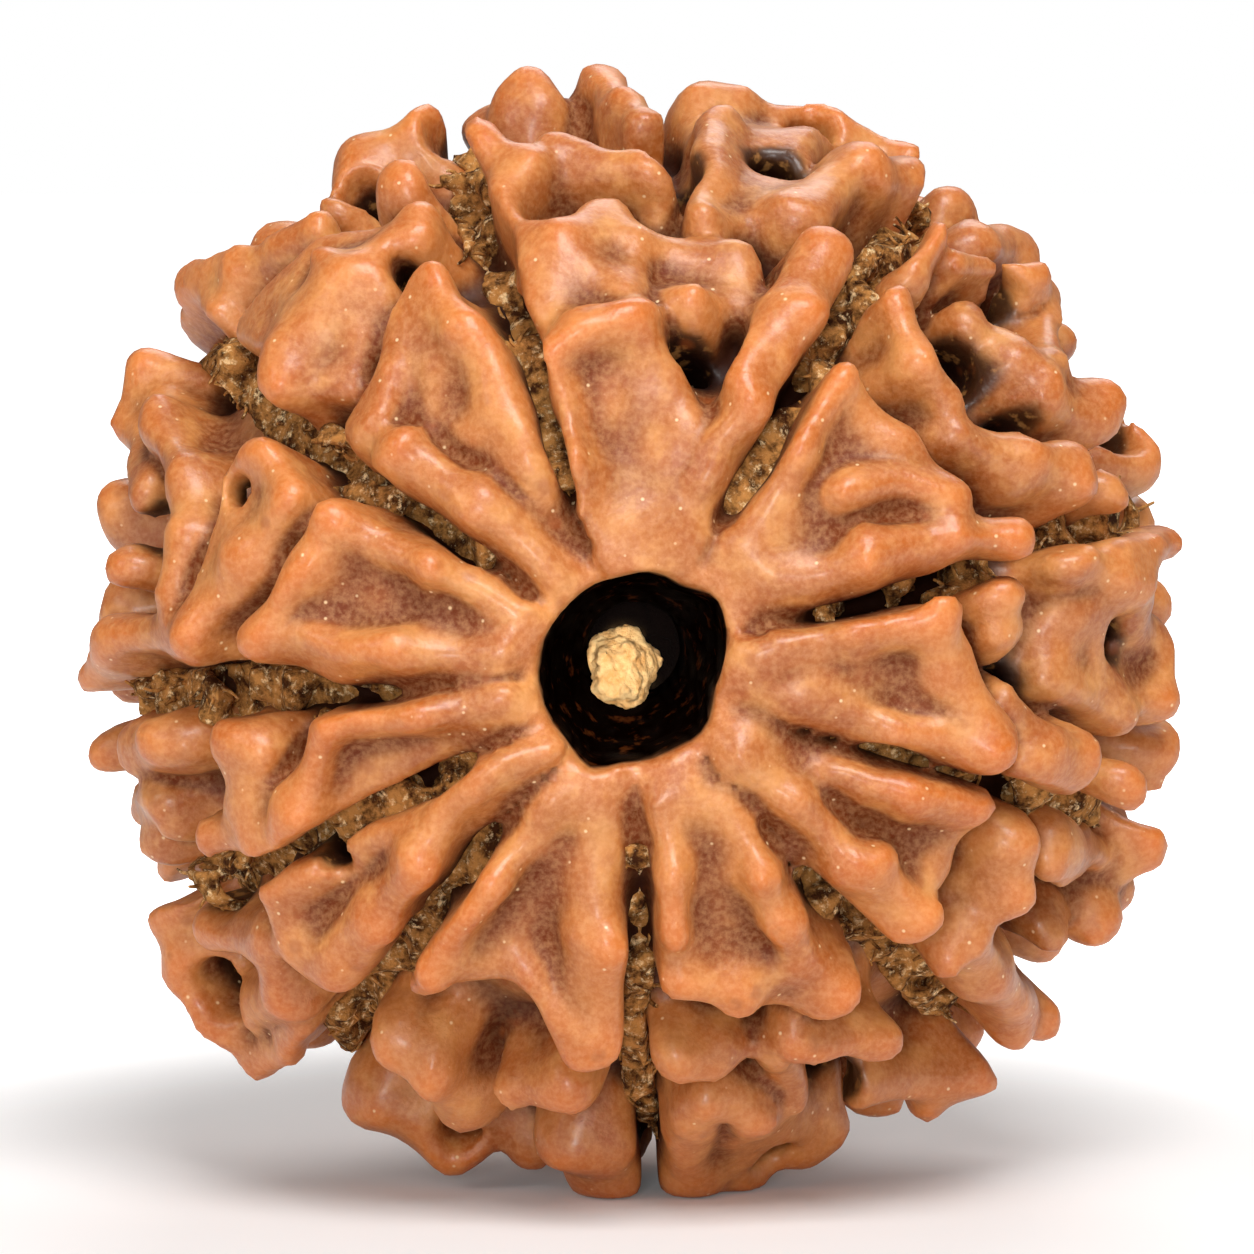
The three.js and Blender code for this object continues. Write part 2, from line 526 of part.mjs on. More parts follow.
// The valley floors, which rise to the body's own height towards the mouths
function valleyReach(way) {
  const fromMouth = Math.asin(Math.hypot(way.x, way.z));
  return bodyReach(way, -VALLEY_DEPTH * smoothstep(fromMouth, VALLEY_STARTS, VALLEY_IS_DEEP));
}

// How far out a sector of the stone reaches along a direction: the first surface met on the way in
function stoneReach(way, sector) {
  const onTheWay = (centre, reach) => {
    const along = centre.dot(way);
    return along > 0 && centre.lengthSq() - along * along < reach * reach;
  };
  const near = lobes[sector].filter((lobe) => onTheWay(lobe.centre, lobe.reach));
  const sunk = pits.filter((pit) => onTheWay(pit.centre, pit.radius + PIT_FILLET));
  const valley = valleyReach(way);
  const distance = (reach) => {
    const point = way.clone().multiplyScalar(reach);
    let value = reach - valley;
    for (const lobe of near) value = smoothMin(value, lobeDistance(point, lobe), FILLET);
    for (const pit of sunk) {
      const bored = point.clone().sub(pit.centre);
      const outside = Math.max(bored.dot(way), 0);
      const aside = Math.sqrt(Math.max(bored.lengthSq() - outside * outside, 0));
      value = -smoothMin(-value, aside - pit.radius, PIT_FILLET);
    }
    return value;
  };
  let reach = MOST_RADIUS;
  let left = distance(reach);
  while (left > 0.02) {
    reach -= Math.max(left * 0.7, 0.03);
    left = distance(reach);
  }
  return reach;
}

// The same, evened out over half a grid step each way, so that a steep wall falls between two
// vertices as a slope and a narrow knob isn't missed
function evenReach(way, sector, sideways) {
  const along = new THREE.Vector3(0, -1, 0).addScaledVector(way, way.y).normalize();
  const round = new THREE.Vector3().crossVectors(way, along).normalize();
  let sum = 0;
  for (const up of EVENING) {
    for (const side of EVENING) {
      const near = way.clone().addScaledVector(along, up * ROW_STEP);
      sum += stoneReach(near.addScaledVector(round, side * sideways).normalize(), sector);
    }
  }
  return sum / EVENING.length ** 2;
}

function grooveAngle(index, fromFront) {
  const [atMouth, halfWay] = GROOVES[index].map(degToRad);
  const share = clamp(fromFront / (Math.PI / 2), 0, 1);
  const wander = (GROOVE_WANDER / BODY_RADIUS) * Math.sin(7 * fromFront + 2.4 * index);
  const twist = GROOVE_TWIST * smoothstep(fromFront, TWIST_FROM, TWIST_TO);
  const wanders = smoothstep(fromFront, GROOVE_STARTS, GROOVE_IS_DEEP);
  return lerp(atMouth, halfWay, share) + wander * wanders + twist;
}

function grooveFloor(way, fromFront) {
  const fromMouth = Math.min(fromFront, Math.PI - fromFront);
  return bodyReach(way, -GROOVE_DEPTH * smoothstep(fromMouth, GROOVE_STARTS, GROOVE_IS_DEEP));
}

// The radius of the front mouth's outline on one side of its axis
function mouthRadius(around) {
  for (let i = 0; i < FRONT_MOUTH.length; i++) {
    const a = new THREE.Vector2(...FRONT_MOUTH[i]);
    const b = new THREE.Vector2(...FRONT_MOUTH[(i + 1) % FRONT_MOUTH.length]);
    const edge = b.clone().sub(a);
    const ray = new THREE.Vector2(Math.cos(around), Math.sin(around));
    const turn = ray.cross(edge);
    const radius = a.cross(edge) / turn;
    const share = a.cross(ray) / turn;
    if (radius > 0 && share >= 0 && share <= 1) return radius;
  }
  throw new Error("the mouth's outline doesn't close");
}

const outline = (around, share) => 1 + share * (mouthRadius(around) / MOUTH_RADIUS - 1);

// The columns that run from mouth to mouth. A sector's first and last follow the floor of its grooves.
function columns() {
  const all = [];
  GROOVES.forEach(([, start], index) => {
    const next = (index + 1) % GROOVES.length;
    const width = (GROOVES[next][1] - start + 360) % 360;
    const steps = Math.round((width / 360) * COLUMNS_IN_ALL) + 1;
    for (let i = 0; i <= steps; i++) all.push({ index, next, i, steps });
  });
  return all;
}

function columnAngle({ index, next, i, steps }, fromFront) {
  const from = grooveAngle(index, fromFront);
  let to = grooveAngle(next, fromFront);
  while (to < from) to += 2 * Math.PI;
  const across = Math.max(BODY_RADIUS * Math.sin(fromFront), 1.5);
  const floor = Math.min(GROOVE_HALF_WIDTH / across, (to - from) * 0.1);
  const wall = Math.min(GROOVE_WALL / across, (to - from) * 0.1);
  if (i === 0) return from + floor;
  if (i === steps) return to - floor;
  return lerp(from + floor + wall, to - floor - wall, (i - 1) / (steps - 2));
}

// The stone's skin from the front rim over the outside to the back rim, then back through the hole
function stone() {
  const lines = columns();
  const rings = [];
  const rim = (radius, share, around) => Math.asin((radius * outline(around, share)) / BODY_HALF_DEPTH);
  for (let row = 0; row <= ROWS; row++) {
    rings.push(
      lines.map((line) => {
        const beside = columnAngle(line, GROOVE_STARTS);
        const first = rim(MOUTH_RADIUS, 1, beside);
        const last = Math.PI - rim(BACK_MOUTH_RADIUS, BACK_MOUTH_SHARE, beside);
        const fromFront = lerp(first, last, row / ROWS);
        const way = direction(fromFront, columnAngle(line, fromFront));
        const floor = grooveFloor(way, fromFront);
        const edge = line.i === 0 || line.i === line.steps;
        const sideways = ROW_STEP * Math.min(1, 2 * Math.sin(fromFront));
        const reach = edge ? floor : evenReach(way, line.index, sideways);
        const toTheFloor = way.z < 0 ? MIDDLE.z / -way.z : Infinity;
        return way.multiplyScalar(Math.min(reach, toTheFloor));
      }),
    );
  }
  const front = rings[0].map((point) => point.y);
  const back = rings[ROWS].map((point) => point.y);
  for (const [depth, radius, share] of HOLE_STATIONS.toReversed()) {
    rings.push(
      lines.map((line, i) => {
        const around = columnAngle(line, depth < 0 ? Math.PI : 0);
        const rim = depth < 0 ? back[i] : front[i];
        const across = radius * outline(around, share);
        return new THREE.Vector3(across * Math.cos(around), rim + depth, across * Math.sin(around));
      }),
    );
  }
  return ringsToGeometry(rings, true);
}

// A closed skin through rings of points. Rings that don't join end to end are capped.
function ringsToGeometry(rings, joined) {
  const count = rings[0].length;
  const positions = rings.flat().flatMap((point) => point.toArray());
  const index = [];
  const last = joined ? rings.length : rings.length - 1;
  for (let row = 0; row < last; row++) {
    for (let i = 0; i < count; i++) {
      const [a, b] = [row * count + i, row * count + ((i + 1) % count)];
      const below = ((row + 1) % rings.length) * count;
      const [c, d] = [below + i, below + ((i + 1) % count)];
      index.push(a, c, d, a, d, b);
    }
  }
  if (!joined) {
    for (let i = 1; i < count - 1; i++) {
      const end = (rings.length - 1) * count;
      index.push(0, i, i + 1, end, end + i + 1, end + i);
    }
  }
  const geometry = new THREE.BufferGeometry();
  geometry.setAttribute("position", new THREE.Float32BufferAttribute(positions, 3));
  geometry.setIndex(index);
  return geometry;
}

// A crumbly strip on a groove's floor, six-sided, with its top rising and falling
function pulp(index) {
  const rings = [];
  const wayAt = (fromFront) => direction(fromFront, grooveAngle(index, fromFront));
  for (let i = 0; i < PULP_STATIONS; i++) {
    const share = i / (PULP_STATIONS - 1);
    const fromFront = lerp(PULP_FROM, PULP_TO, share);
    const middle = wayAt(fromFront);
    const across = wayAt(fromFront + 0.01).cross(middle).normalize();
    const floor = grooveFloor(middle, fromFront) + PULP_GAP;
    const height = PULP_HEIGHT * between(0.55, 1.1);
    const tapered = lerp(0.55, 1, Math.sin(Math.PI * share));
    const width = PULP_HALF_WIDTH * tapered * between(0.8, 1.05);
    rings.push(
      PULP_SECTION.map(([side, up]) => {
        const at = middle.clone().multiplyScalar(floor + up * height);
        return at.addScaledVector(across, side * width);
      }),
    );
  }
  return ringsToGeometry(rings, false);
}

// The pith: a rough barrel across the neck of the string hole
function pith() {
  const rings = [];
  for (let i = 0; i < PITH_STATIONS; i++) {
    const share = i / (PITH_STATIONS - 1);
    const y = lerp(...PITH_DEPTH, share) - BODY_HALF_DEPTH;
    const bulge = lerp(PITH_END, 1, Math.sqrt(Math.sin(Math.PI * share)));
    const ring = [];
    for (let j = 0; j < PITH_SIDES; j++) {
      const around = (j / PITH_SIDES) * 2 * Math.PI;
      const radius = PITH_RADIUS * bulge * between(0.9, 1);
      ring.push(new THREE.Vector3(radius * Math.cos(around), y, radius * Math.sin(around)));
    }
    rings.push(ring);
  }
  return ringsToGeometry(rings, false);
}

function piece(name, geometry, color, roughness) {
  geometry.computeVertexNormals();
  const mesh = new THREE.Mesh(geometry, new THREE.MeshStandardMaterial({ color, roughness, metalness: 0 }));
  mesh.name = name;
  mesh.position.copy(MIDDLE);
  return mesh;
}

addFront();
addBack();
addFeet();

const seedStone = new THREE.Group();
seedStone.add(piece("stone", stone(), 0xc98b57, 0.42));
seedStone.add(piece("pith", pith(), 0xe8be80, 0.95));
GROOVES.forEach((groove, index) => {
  seedStone.add(piece(`pulp_${String(index + 1).padStart(2, "0")}`, pulp(index), 0xb58e58, 0.95));
});

export default seedStone;
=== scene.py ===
import math

import bpy
import numpy as np
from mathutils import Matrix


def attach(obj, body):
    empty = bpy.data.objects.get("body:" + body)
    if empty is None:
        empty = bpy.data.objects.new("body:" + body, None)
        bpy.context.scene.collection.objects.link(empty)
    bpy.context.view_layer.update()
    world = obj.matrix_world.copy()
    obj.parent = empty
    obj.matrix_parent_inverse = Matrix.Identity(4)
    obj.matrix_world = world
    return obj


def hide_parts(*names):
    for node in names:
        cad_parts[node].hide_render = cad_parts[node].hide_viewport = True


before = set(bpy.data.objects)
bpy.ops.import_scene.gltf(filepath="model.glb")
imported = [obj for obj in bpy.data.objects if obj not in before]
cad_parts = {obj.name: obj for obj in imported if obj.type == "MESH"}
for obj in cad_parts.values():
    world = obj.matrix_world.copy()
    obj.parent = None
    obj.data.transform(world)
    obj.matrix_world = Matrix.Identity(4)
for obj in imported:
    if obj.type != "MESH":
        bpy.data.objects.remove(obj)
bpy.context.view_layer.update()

import openvdb
from mathutils import Vector

# The stone: the hard, woody stone of a fruit. It grew in one piece, with ten ribs of plates and knobs
# round its string hole, and lies loose on its side. Its knobs melt into each other and hang over their
# pits, so it is worked out as a solid in a fine grid, in millimetres from its middle.
MM = 0.001
MIDDLE = np.array([0.16, 0.06, 13.9])
BODY_RADIUS = 12.2
BODY_HALF_DEPTH = 10.6
VALLEY_DEPTH = 0.8
VALLEY_STARTS = math.radians(24)
VALLEY_IS_DEEP = math.radians(56)
VIEW_RISE = math.radians(5)
TOWARDS_VIEW = np.array([0, -math.cos(VIEW_RISE), math.sin(VIEW_RISE)])
HOLE_IN_VIEW = -BODY_HALF_DEPTH * math.sin(VIEW_RISE)
FILLET = 0.38
PIT_FILLET = 0.3
PLATE_RADIUS = 0.5
RIDGE_WAIST = 0.14
PLATE_SINKS = 0.25
ROOT_LAYERS = ((0, 1), (0.6, 1.0), (1.2, 1.05), (1.8, 1.2))  # depth and growth
CLEAR = 3.0
GRID_STEP = 0.215
GRID_LOW = np.array([-14.6, -12.0, -14.6])
GRID_SHAPE = [int(2 * -low / GRID_STEP) + 1 for low in GRID_LOW]

# The grooves in degrees, anticlockwise from the right: beside the front mouth, and half way back
GROOVES = [
    (16, 13.5), (60, 56), (109, 108.5), (146, 145.5), (185, 188),
    (210, 209.5), (230, 233.5), (270.5, 271), (309, 311.5), (341, 340.5),
]
GROOVE_DEPTH = 1.0
GROOVE_STARTS = math.radians(13)
GROOVE_IS_DEEP = math.radians(34)
GROOVE_WANDER = 0.2
GROOVE_TWIST = math.radians(5)
TWIST_FROM = math.radians(88)
TWIST_TO = math.radians(108)

# The knobs of the front half, sector by sector between the grooves, anticlockwise from the right.
# A point is x, z, radius and the height of its top above the body, with x and z as seen from the
# front, from the hole's axis. A plate is a fan of flat stretches: x, z and the height of its top.
FRONT_SECTORS = [
  {
    "plates": [
      [
        [2.9, 2.4, 0.4], [3.7, 5.3, 1.3], [5.0, 6.7, 1.7], [6.4, 5.3, 1.5], [7.3, 4.0, 1.4],
        [7.3, 2.9, 1.1], [3.6, 2.2, 0.7],
      ],
    ],
    "ridges": [
      [[2.6, 2.9, 0.35, 0.5], [3.9, 5.4, 0.5, 1.5], [5.0, 7.0, 0.55, 2.0]],
      [[3.4, 2.2, 0.35, 0.6], [5.4, 2.7, 0.5, 1.4], [7.4, 3.1, 0.6, 1.6], [9.0, 3.1, 0.6, 1.9]],
      [[5.0, 4.3, 0.5, 1.4], [7.4, 4.1, 0.6, 1.7]],
      [[6.2, 8.9, 0.5, 1.5], [6.6, 7.6, 0.6, 1.4], [7.3, 6.7, 0.6, 1.1]],
      [[6.6, 9.5, 0.75, 1.4], [7.0, 10.4, 0.8, 1.9]],
      [[8.1, 9.8, 0.4, 1.5], [9.9, 9.5, 0.4, 1.6], [10.4, 9.2, 0.45, 1.6], [10.3, 7.5, 0.55, 1.5]],
      [[7.7, 5.7, 0.75, 1.1], [9.1, 4.95, 0.85, 1.4], [10.4, 4.45, 0.95, 1.7]],
      [[9.1, 7.4, 0.9, 1.2], [9.8, 6.6, 0.9, 1.3], [11.0, 6.3, 0.95, 1.7]],
      [[8.4, 10.6, 0.7, 1.6], [9.2, 10.6, 0.5, 1.6]],
    ],
    "knobs": [[12.3, 5.2, 0.9, 1.7], [11.7, 4.5, 0.5, 1.3], [8.3, 8.5, 0.5, 1.0]],
    "pits": [[7.9, 7.4, 0.55], [8.9, 9.05, 0.3], [11.7, 5.7, 0.4], [9.3, 5.7, 0.35]],
  },
  {
    "plates": [
      [
        [0.1, 2.8, 0.4], [-1.2, 3.2, 0.6], [-1.7, 5.4, 1.3], [-2.0, 7.3, 1.7], [-1.4, 7.9, 1.9],
        [0.2, 7.9, 1.7], [1.2, 5.6, 1.1], [1.3, 3.2, 0.6],
      ],
      [
        [-1.6, 9.9, 1.5], [-3.2, 10.6, 1.6], [-3.1, 9.2, 1.5], [-2.2, 8.5, 1.4], [-0.2, 8.8, 1.5],
        [0.1, 10.1, 1.6], [-0.9, 10.8, 1.6],
      ],
      [[0.6, 9.8, 1.0], [2.6, 9.8, 1.2], [2.6, 8.9, 1.0], [0.8, 8.8, 0.9]],
      [[1.6, 13.9, 1.4], [2.2, 10.9, 1.1], [3.3, 11.0, 1.0], [4.7, 13.4, 1.4]],
    ],
    "ridges": [
      [
        [-0.9, 2.7, 0.35, 0.5], [-1.6, 4.8, 0.5, 1.3], [-2.1, 7.4, 0.6, 1.9],
        [-1.5, 8.0, 0.6, 2.1], [0.1, 8.0, 0.5, 1.8],
      ],
      [[1.6, 4.3, 0.35, 0.9], [2.65, 6.2, 0.6, 1.5], [3.8, 8.6, 0.7, 1.8], [4.65, 10.1, 0.7, 2.0]],
      [[-3.6, 12.6, 0.5, 1.9], [-2.85, 11.9, 0.55, 1.6], [-3.4, 10.8, 0.6, 1.6]],
      [[-1.8, 12.1, 0.7, 1.3], [0.2, 11.9, 0.75, 1.5]],
      [[-0.8, 14.6, 0.5, 1.8], [-0.2, 13.9, 0.5, 1.5], [0.3, 13.3, 0.5, 1.2]],
      [[1.6, 13.9, 0.6, 1.5], [4.7, 13.5, 0.6, 1.6]],
      [[2.0, 13.4, 0.6, 1.4], [1.9, 10.8, 0.65, 1.2]],
      [[3.9, 11.1, 0.75, 1.4], [5.6, 11.9, 0.85, 1.6], [6.7, 11.9, 0.85, 1.8]],
      [[4.9, 13.6, 0.5, 1.5], [6.6, 12.6, 0.55, 1.7], [7.4, 12.0, 0.5, 1.5]],
    ],
    "knobs": [[1.3, 8.6, 0.75, 1.3], [-2.6, 13.7, 0.9, 1.7], [-2.8, 14.4, 0.6, 1.8], [1.9, 14.2, 0.6, 1.8]],
    "pits": [[0.9, 12.0, 0.42], [3.4, 12.2, 0.5], [4.1, 12.9, 0.45], [1.2, 7.4, 0.35]],
  },
  {
    "plates": [
      [[-4.7, 9.2, 1.9], [-6.3, 6.0, 1.2], [-4.6, 5.9, 1.1], [-2.6, 5.0, 1.2], [-3.4, 7.4, 1.6]],
      [
        [-8.2, 7.4, 1.5], [-9.3, 8.4, 1.4], [-7.4, 9.9, 1.6], [-5.3, 10.5, 1.6], [-6.1, 8.5, 1.2],
        [-6.9, 7.0, 1.2],
      ],
    ],
    "ridges": [
      [[-2.0, 2.5, 0.3, 0.5], [-3.5, 3.9, 0.6, 1.3], [-5.3, 5.1, 0.75, 1.7]],
      [[-4.7, 9.5, 0.45, 2.1], [-3.8, 8.0, 0.5, 1.8], [-2.5, 5.6, 0.5, 1.3]],
      [[-5.8, 7.2, 0.4, 1.4], [-6.2, 5.7, 0.45, 1.3]],
      [[-8.3, 7.2, 0.9, 1.8], [-6.9, 9.0, 0.75, 1.7], [-5.2, 10.6, 0.65, 1.7]],
      [[-7.6, 10.6, 0.6, 1.5], [-9.6, 9.6, 0.65, 1.6], [-10.9, 9.7, 0.5, 1.8]],
      [[-10.9, 9.6, 0.5, 1.8], [-10.2, 8.6, 0.5, 1.3]],
      [[-5.3, 13.3, 1.05, 1.6], [-6.7, 12.8, 0.8, 1.6], [-7.3, 11.4, 0.6, 1.3]],
    ],
    "knobs": [[-5.5, 11.6, 0.65, 1.7], [-7.4, 9.7, 0.4, 1.9]],
    "pits": [[-6.6, 11.5, 0.45], [-5.4, 9.2, 0.35], [-4.3, 12.8, 0.4]],
  },
  {
    "plates": [
      [[-2.7, 0.9, 0.4], [-6.8, 3.4, 1.6], [-8.8, 0.8, 1.6], [-8.2, 0.3, 1.4], [-3.4, 0.3, 0.6]],
      [[-9.2, 4.6, 1.4], [-8.2, 3.9, 1.3], [-9.4, 2.2, 1.3], [-10.4, 1.0, 1.4]],
    ],
    "ridges": [
      [[-2.6, 1.3, 0.35, 0.5], [-4.8, 2.4, 0.5, 1.3], [-6.8, 3.5, 0.55, 1.9]],
      [[-6.8, 3.5, 0.55, 1.9], [-8.7, 0.9, 0.55, 1.8]],
      [[-2.9, 0.5, 0.35, 0.5], [-5.5, 0.6, 0.5, 1.3], [-8.6, 0.5, 0.6, 1.7]],
      [
        [-9.5, 4.4, 0.45, 1.5], [-9.0, 5.0, 0.45, 1.6], [-8.1, 3.9, 0.5, 1.4],
        [-9.2, 2.6, 0.55, 1.5], [-10.5, 0.8, 0.65, 1.7],
      ],
      [
        [-11.6, 6.6, 0.7, 1.4], [-11.5, 5.9, 0.65, 1.4], [-11.0, 4.7, 0.65, 1.4],
        [-10.8, 3.2, 0.6, 1.3], [-11.1, 1.7, 0.6, 1.4],
      ],
      [[-12.1, 7.5, 0.55, 1.7], [-12.5, 6.0, 0.55, 1.5], [-12.1, 4.5, 0.55, 1.4]],
      [[-11.0, 0.9, 0.6, 1.3], [-12.7, 0.5, 0.55, 1.5], [-13.6, -0.1, 0.45, 1.6]],
    ],
    "knobs": [[-12.3, 2.7, 0.6, 1.4]],
    "pits": [[-9.15, 4.15, 0.3], [-11.6, 3.6, 0.35]],
  },
  {
    "plates": [
      [[-2.9, -0.6, 0.4], [-6.8, -1.5, 1.3], [-8.0, -3.2, 1.6], [-8.0, -4.4, 1.5], [-5.6, -2.8, 1.0]],
    ],
    "ridges": [
      [
        [-2.9, -0.6, 0.35, 0.5], [-5.0, -1.1, 0.5, 1.3], [-7.2, -1.4, 0.5, 1.8],
        [-8.1, -3.3, 0.6, 1.8], [-8.1, -4.5, 0.5, 1.6],
      ],
      [[-9.2, -1.9, 1.05, 1.7], [-9.0, -3.4, 0.8, 1.5], [-8.7, -4.1, 0.5, 1.4]],
      [[-9.0, -3.9, 0.5, 1.4], [-10.2, -4.2, 0.45, 1.5]],
      [[-11.3, -1.7, 0.9, 1.5], [-12.1, -1.9, 0.9, 1.5]],
      [[-11.1, -3.4, 0.9, 1.2], [-12.2, -3.3, 0.7, 1.4]],
    ],
    "knobs": [[-13.3, -2.1, 0.6, 1.6], [-11.6, -4.3, 0.7, 1.3]],
    "pits": [[-7.0, -4.4, 0.25]],
  },
  {
    "plates": [
      [[-3.0, -2.3, 0.5], [-5.4, -3.6, 1.2], [-7.8, -5.0, 1.5], [-7.3, -6.9, 1.6], [-5.2, -4.6, 1.4]],
    ],
    "ridges": [
      [
        [-1.9, -2.0, 0.35, 0.5], [-3.8, -2.8, 0.5, 1.2], [-5.1, -4.5, 0.6, 1.7],
        [-6.3, -6.0, 0.6, 1.9], [-7.2, -7.0, 0.6, 1.9],
      ],
      [[-8.3, -4.9, 0.7, 1.5], [-7.8, -6.2, 0.8, 1.6]],
      [
        [-10.4, -6.5, 0.55, 1.6], [-8.7, -6.3, 0.6, 1.4], [-8.2, -7.7, 0.75, 1.5],
        [-9.1, -8.3, 0.75, 1.6],
      ],
      [
        [-11.2, -5.0, 0.7, 1.4], [-11.4, -6.2, 0.7, 1.5], [-11.0, -7.5, 0.7, 1.5],
        [-10.4, -8.5, 0.65, 1.6],
      ],
      [[-10.4, -8.5, 0.65, 1.6], [-9.2, -9.4, 0.6, 1.6], [-7.8, -8.9, 0.6, 1.5]],
    ],
    "knobs": [],
    "pits": [[-9.7, -7.4, 0.45], [-9.9, -5.6, 0.35]],
  },
  {
    "plates": [
      [
        [-1.5, -3.0, 0.5], [-0.9, -6.4, 1.4], [-1.5, -8.2, 1.7], [-2.4, -6.9, 1.3],
        [-4.8, -7.3, 1.7], [-3.4, -4.6, 1.2],
      ],
    ],
    "ridges": [
      [[-1.8, -3.1, 0.35, 0.5], [-3.2, -5.0, 0.5, 1.4], [-4.9, -7.3, 0.6, 2.0]],
      [[-1.0, -3.4, 0.3, 0.5], [-0.9, -6.4, 0.5, 1.5], [-1.0, -8.8, 0.6, 2.0]],
      [[-2.3, -7.2, 0.55, 1.4], [-1.1, -8.8, 0.65, 2.0]],
      [[-5.9, -9.1, 0.75, 1.6], [-4.9, -9.4, 0.8, 1.5], [-3.9, -10.4, 0.9, 1.3]],
      [[-6.5, -10.8, 0.95, 1.7], [-4.7, -12.0, 0.8, 1.5]],
      [[-2.8, -10.0, 0.6, 1.2], [-1.6, -10.0, 0.75, 1.6]],
    ],
    "knobs": [[-1.1, -11.5, 1.0, 1.6], [-0.9, -12.6, 0.9, 1.7], [-2.9, -11.7, 0.7, 1.2]],
    "pits": [[-4.4, -11.1, 0.4]],
  },
  {
    "plates": [
      [
        [1.1, -3.0, 0.5], [0.9, -6.2, 1.3], [2.1, -7.3, 1.2], [4.6, -7.4, 1.7], [3.6, -5.7, 1.5],
        [2.4, -3.6, 0.8],
      ],
      [[3.0, -10.6, 1.1], [1.6, -11.0, 1.4], [1.6, -12.7, 1.5], [4.0, -12.2, 1.3], [4.6, -11.3, 1.2]],
    ],
    "ridges": [
      [[0.5, -3.2, 0.3, 0.5], [0.8, -4.8, 0.45, 1.3], [0.9, -6.2, 0.5, 1.6]],
      [[2.2, -3.3, 0.35, 0.6], [3.2, -4.8, 0.5, 1.4], [3.7, -6.1, 0.55, 1.7], [4.9, -7.6, 0.7, 2.0]],
      [[0.8, -7.3, 0.55, 1.7], [2.2, -7.4, 0.6, 1.5], [3.8, -6.9, 0.6, 1.5]],
      [[1.2, -9.3, 0.75, 1.5], [2.1, -9.2, 0.75, 1.4]],
      [[4.1, -8.5, 0.65, 1.4], [6.0, -8.9, 0.7, 1.8]],
      [[1.4, -10.8, 0.8, 1.6], [1.5, -12.7, 0.9, 1.7]],
      [[1.9, -10.6, 0.6, 1.6], [2.9, -11.0, 0.45, 1.6], [2.8, -12.0, 0.55, 1.6]],
      [[5.6, -10.4, 0.7, 1.4], [7.9, -10.0, 0.75, 1.7], [8.7, -10.1, 0.5, 1.6]],
      [[3.4, -9.0, 0.5, 1.1], [3.7, -10.4, 0.5, 1.1]],
    ],
    "knobs": [[3.0, -12.7, 0.65, 1.5], [7.2, -10.8, 0.65, 1.6], [4.5, -11.6, 0.9, 1.4]],
    "pits": [[4.8, -10.2, 0.45], [3.3, -11.6, 0.3]],
  },
  {
    "plates": [
      [
        [2.6, -2.1, 0.5], [4.4, -4.6, 1.2], [6.4, -6.0, 1.9], [6.9, -4.8, 1.5], [7.8, -3.5, 1.6],
        [5.0, -2.5, 1.0],
      ],
    ],
    "ridges": [
      [[2.5, -1.9, 0.35, 0.5], [3.9, -3.1, 0.5, 1.3], [5.4, -4.6, 0.6, 1.8], [6.5, -6.0, 0.75, 2.2]],
      [[4.6, -2.2, 0.4, 1.0], [6.3, -2.8, 0.5, 1.5], [7.9, -3.4, 0.55, 1.9]],
      [[8.9, -4.4, 0.85, 1.5], [8.8, -5.4, 0.85, 1.6]],
      [[8.0, -6.4, 0.6, 1.3], [8.7, -7.5, 0.75, 1.5], [9.2, -8.5, 0.75, 1.8]],
      [[10.1, -4.5, 0.6, 1.3], [11.6, -4.9, 0.65, 1.4], [12.8, -4.5, 0.6, 1.8]],
    ],
    "knobs": [
      [7.5, -7.1, 0.42, 1.4], [10.0, -8.6, 0.5, 1.7], [11.4, -6.2, 0.85, 1.5],
      [10.2, -6.3, 0.7, 1.1],
    ],
    "pits": [[9.9, -5.4, 0.35]],
  },
  {
    "plates": [
      [
        [3.0, 0.3, 0.4], [7.3, 1.1, 1.7], [7.6, 0.1, 1.4], [8.3, -1.6, 1.7], [6.0, -1.2, 1.1],
        [3.7, -0.6, 0.6],
      ],
      [[10.6, 1.2, 1.0], [11.8, 1.9, 1.4], [12.5, 0.3, 1.2], [11.6, -1.0, 1.0], [10.2, -0.5, 0.9]],
    ],
    "ridges": [
      [[3.0, 0.5, 0.35, 0.5], [5.2, 1.0, 0.5, 1.3], [7.3, 1.3, 0.55, 2.0]],
      [[7.3, 1.3, 0.55, 2.0], [7.6, 0.2, 0.5, 1.6], [8.3, -1.6, 0.6, 1.9]],
      [[3.8, -0.7, 0.35, 0.7], [6.0, -1.3, 0.5, 1.3], [8.2, -1.7, 0.55, 1.8]],
      [[8.8, 1.6, 0.85, 1.5], [9.0, 0.8, 0.7, 1.3]],
      [[10.6, 2.5, 0.8, 1.4], [11.8, 1.9, 0.85, 1.5]],
      [[11.6, 2.6, 0.5, 1.4], [13.0, 3.0, 0.5, 1.6]],
      [[12.3, 1.4, 0.6, 1.4], [12.8, 0.4, 0.6, 1.4], [12.7, -0.6, 0.6, 1.4]],
      [[9.4, -2.3, 0.85, 1.6], [10.4, -2.4, 0.85, 1.6]],
      [[9.0, -0.9, 0.6, 1.1], [9.6, -2.0, 0.6, 1.4]],
    ],
    "knobs": [[12.7, -2.0, 0.95, 1.6], [12.9, -3.4, 0.6, 1.4], [11.8, -2.9, 0.5, 1.4]],
    "pits": [[11.6, 0.6, 0.35], [9.4, -0.2, 0.3]],
  },
]

# Worn ridges under the stone, by the lowest groove: sector, x, from y, to y, depth, radius
FEET = [(6, -0.9, -2.2, 3.2, 13.3, 1.0), (7, 1.5, -2.2, 3.2, 13.3, 1.0)]

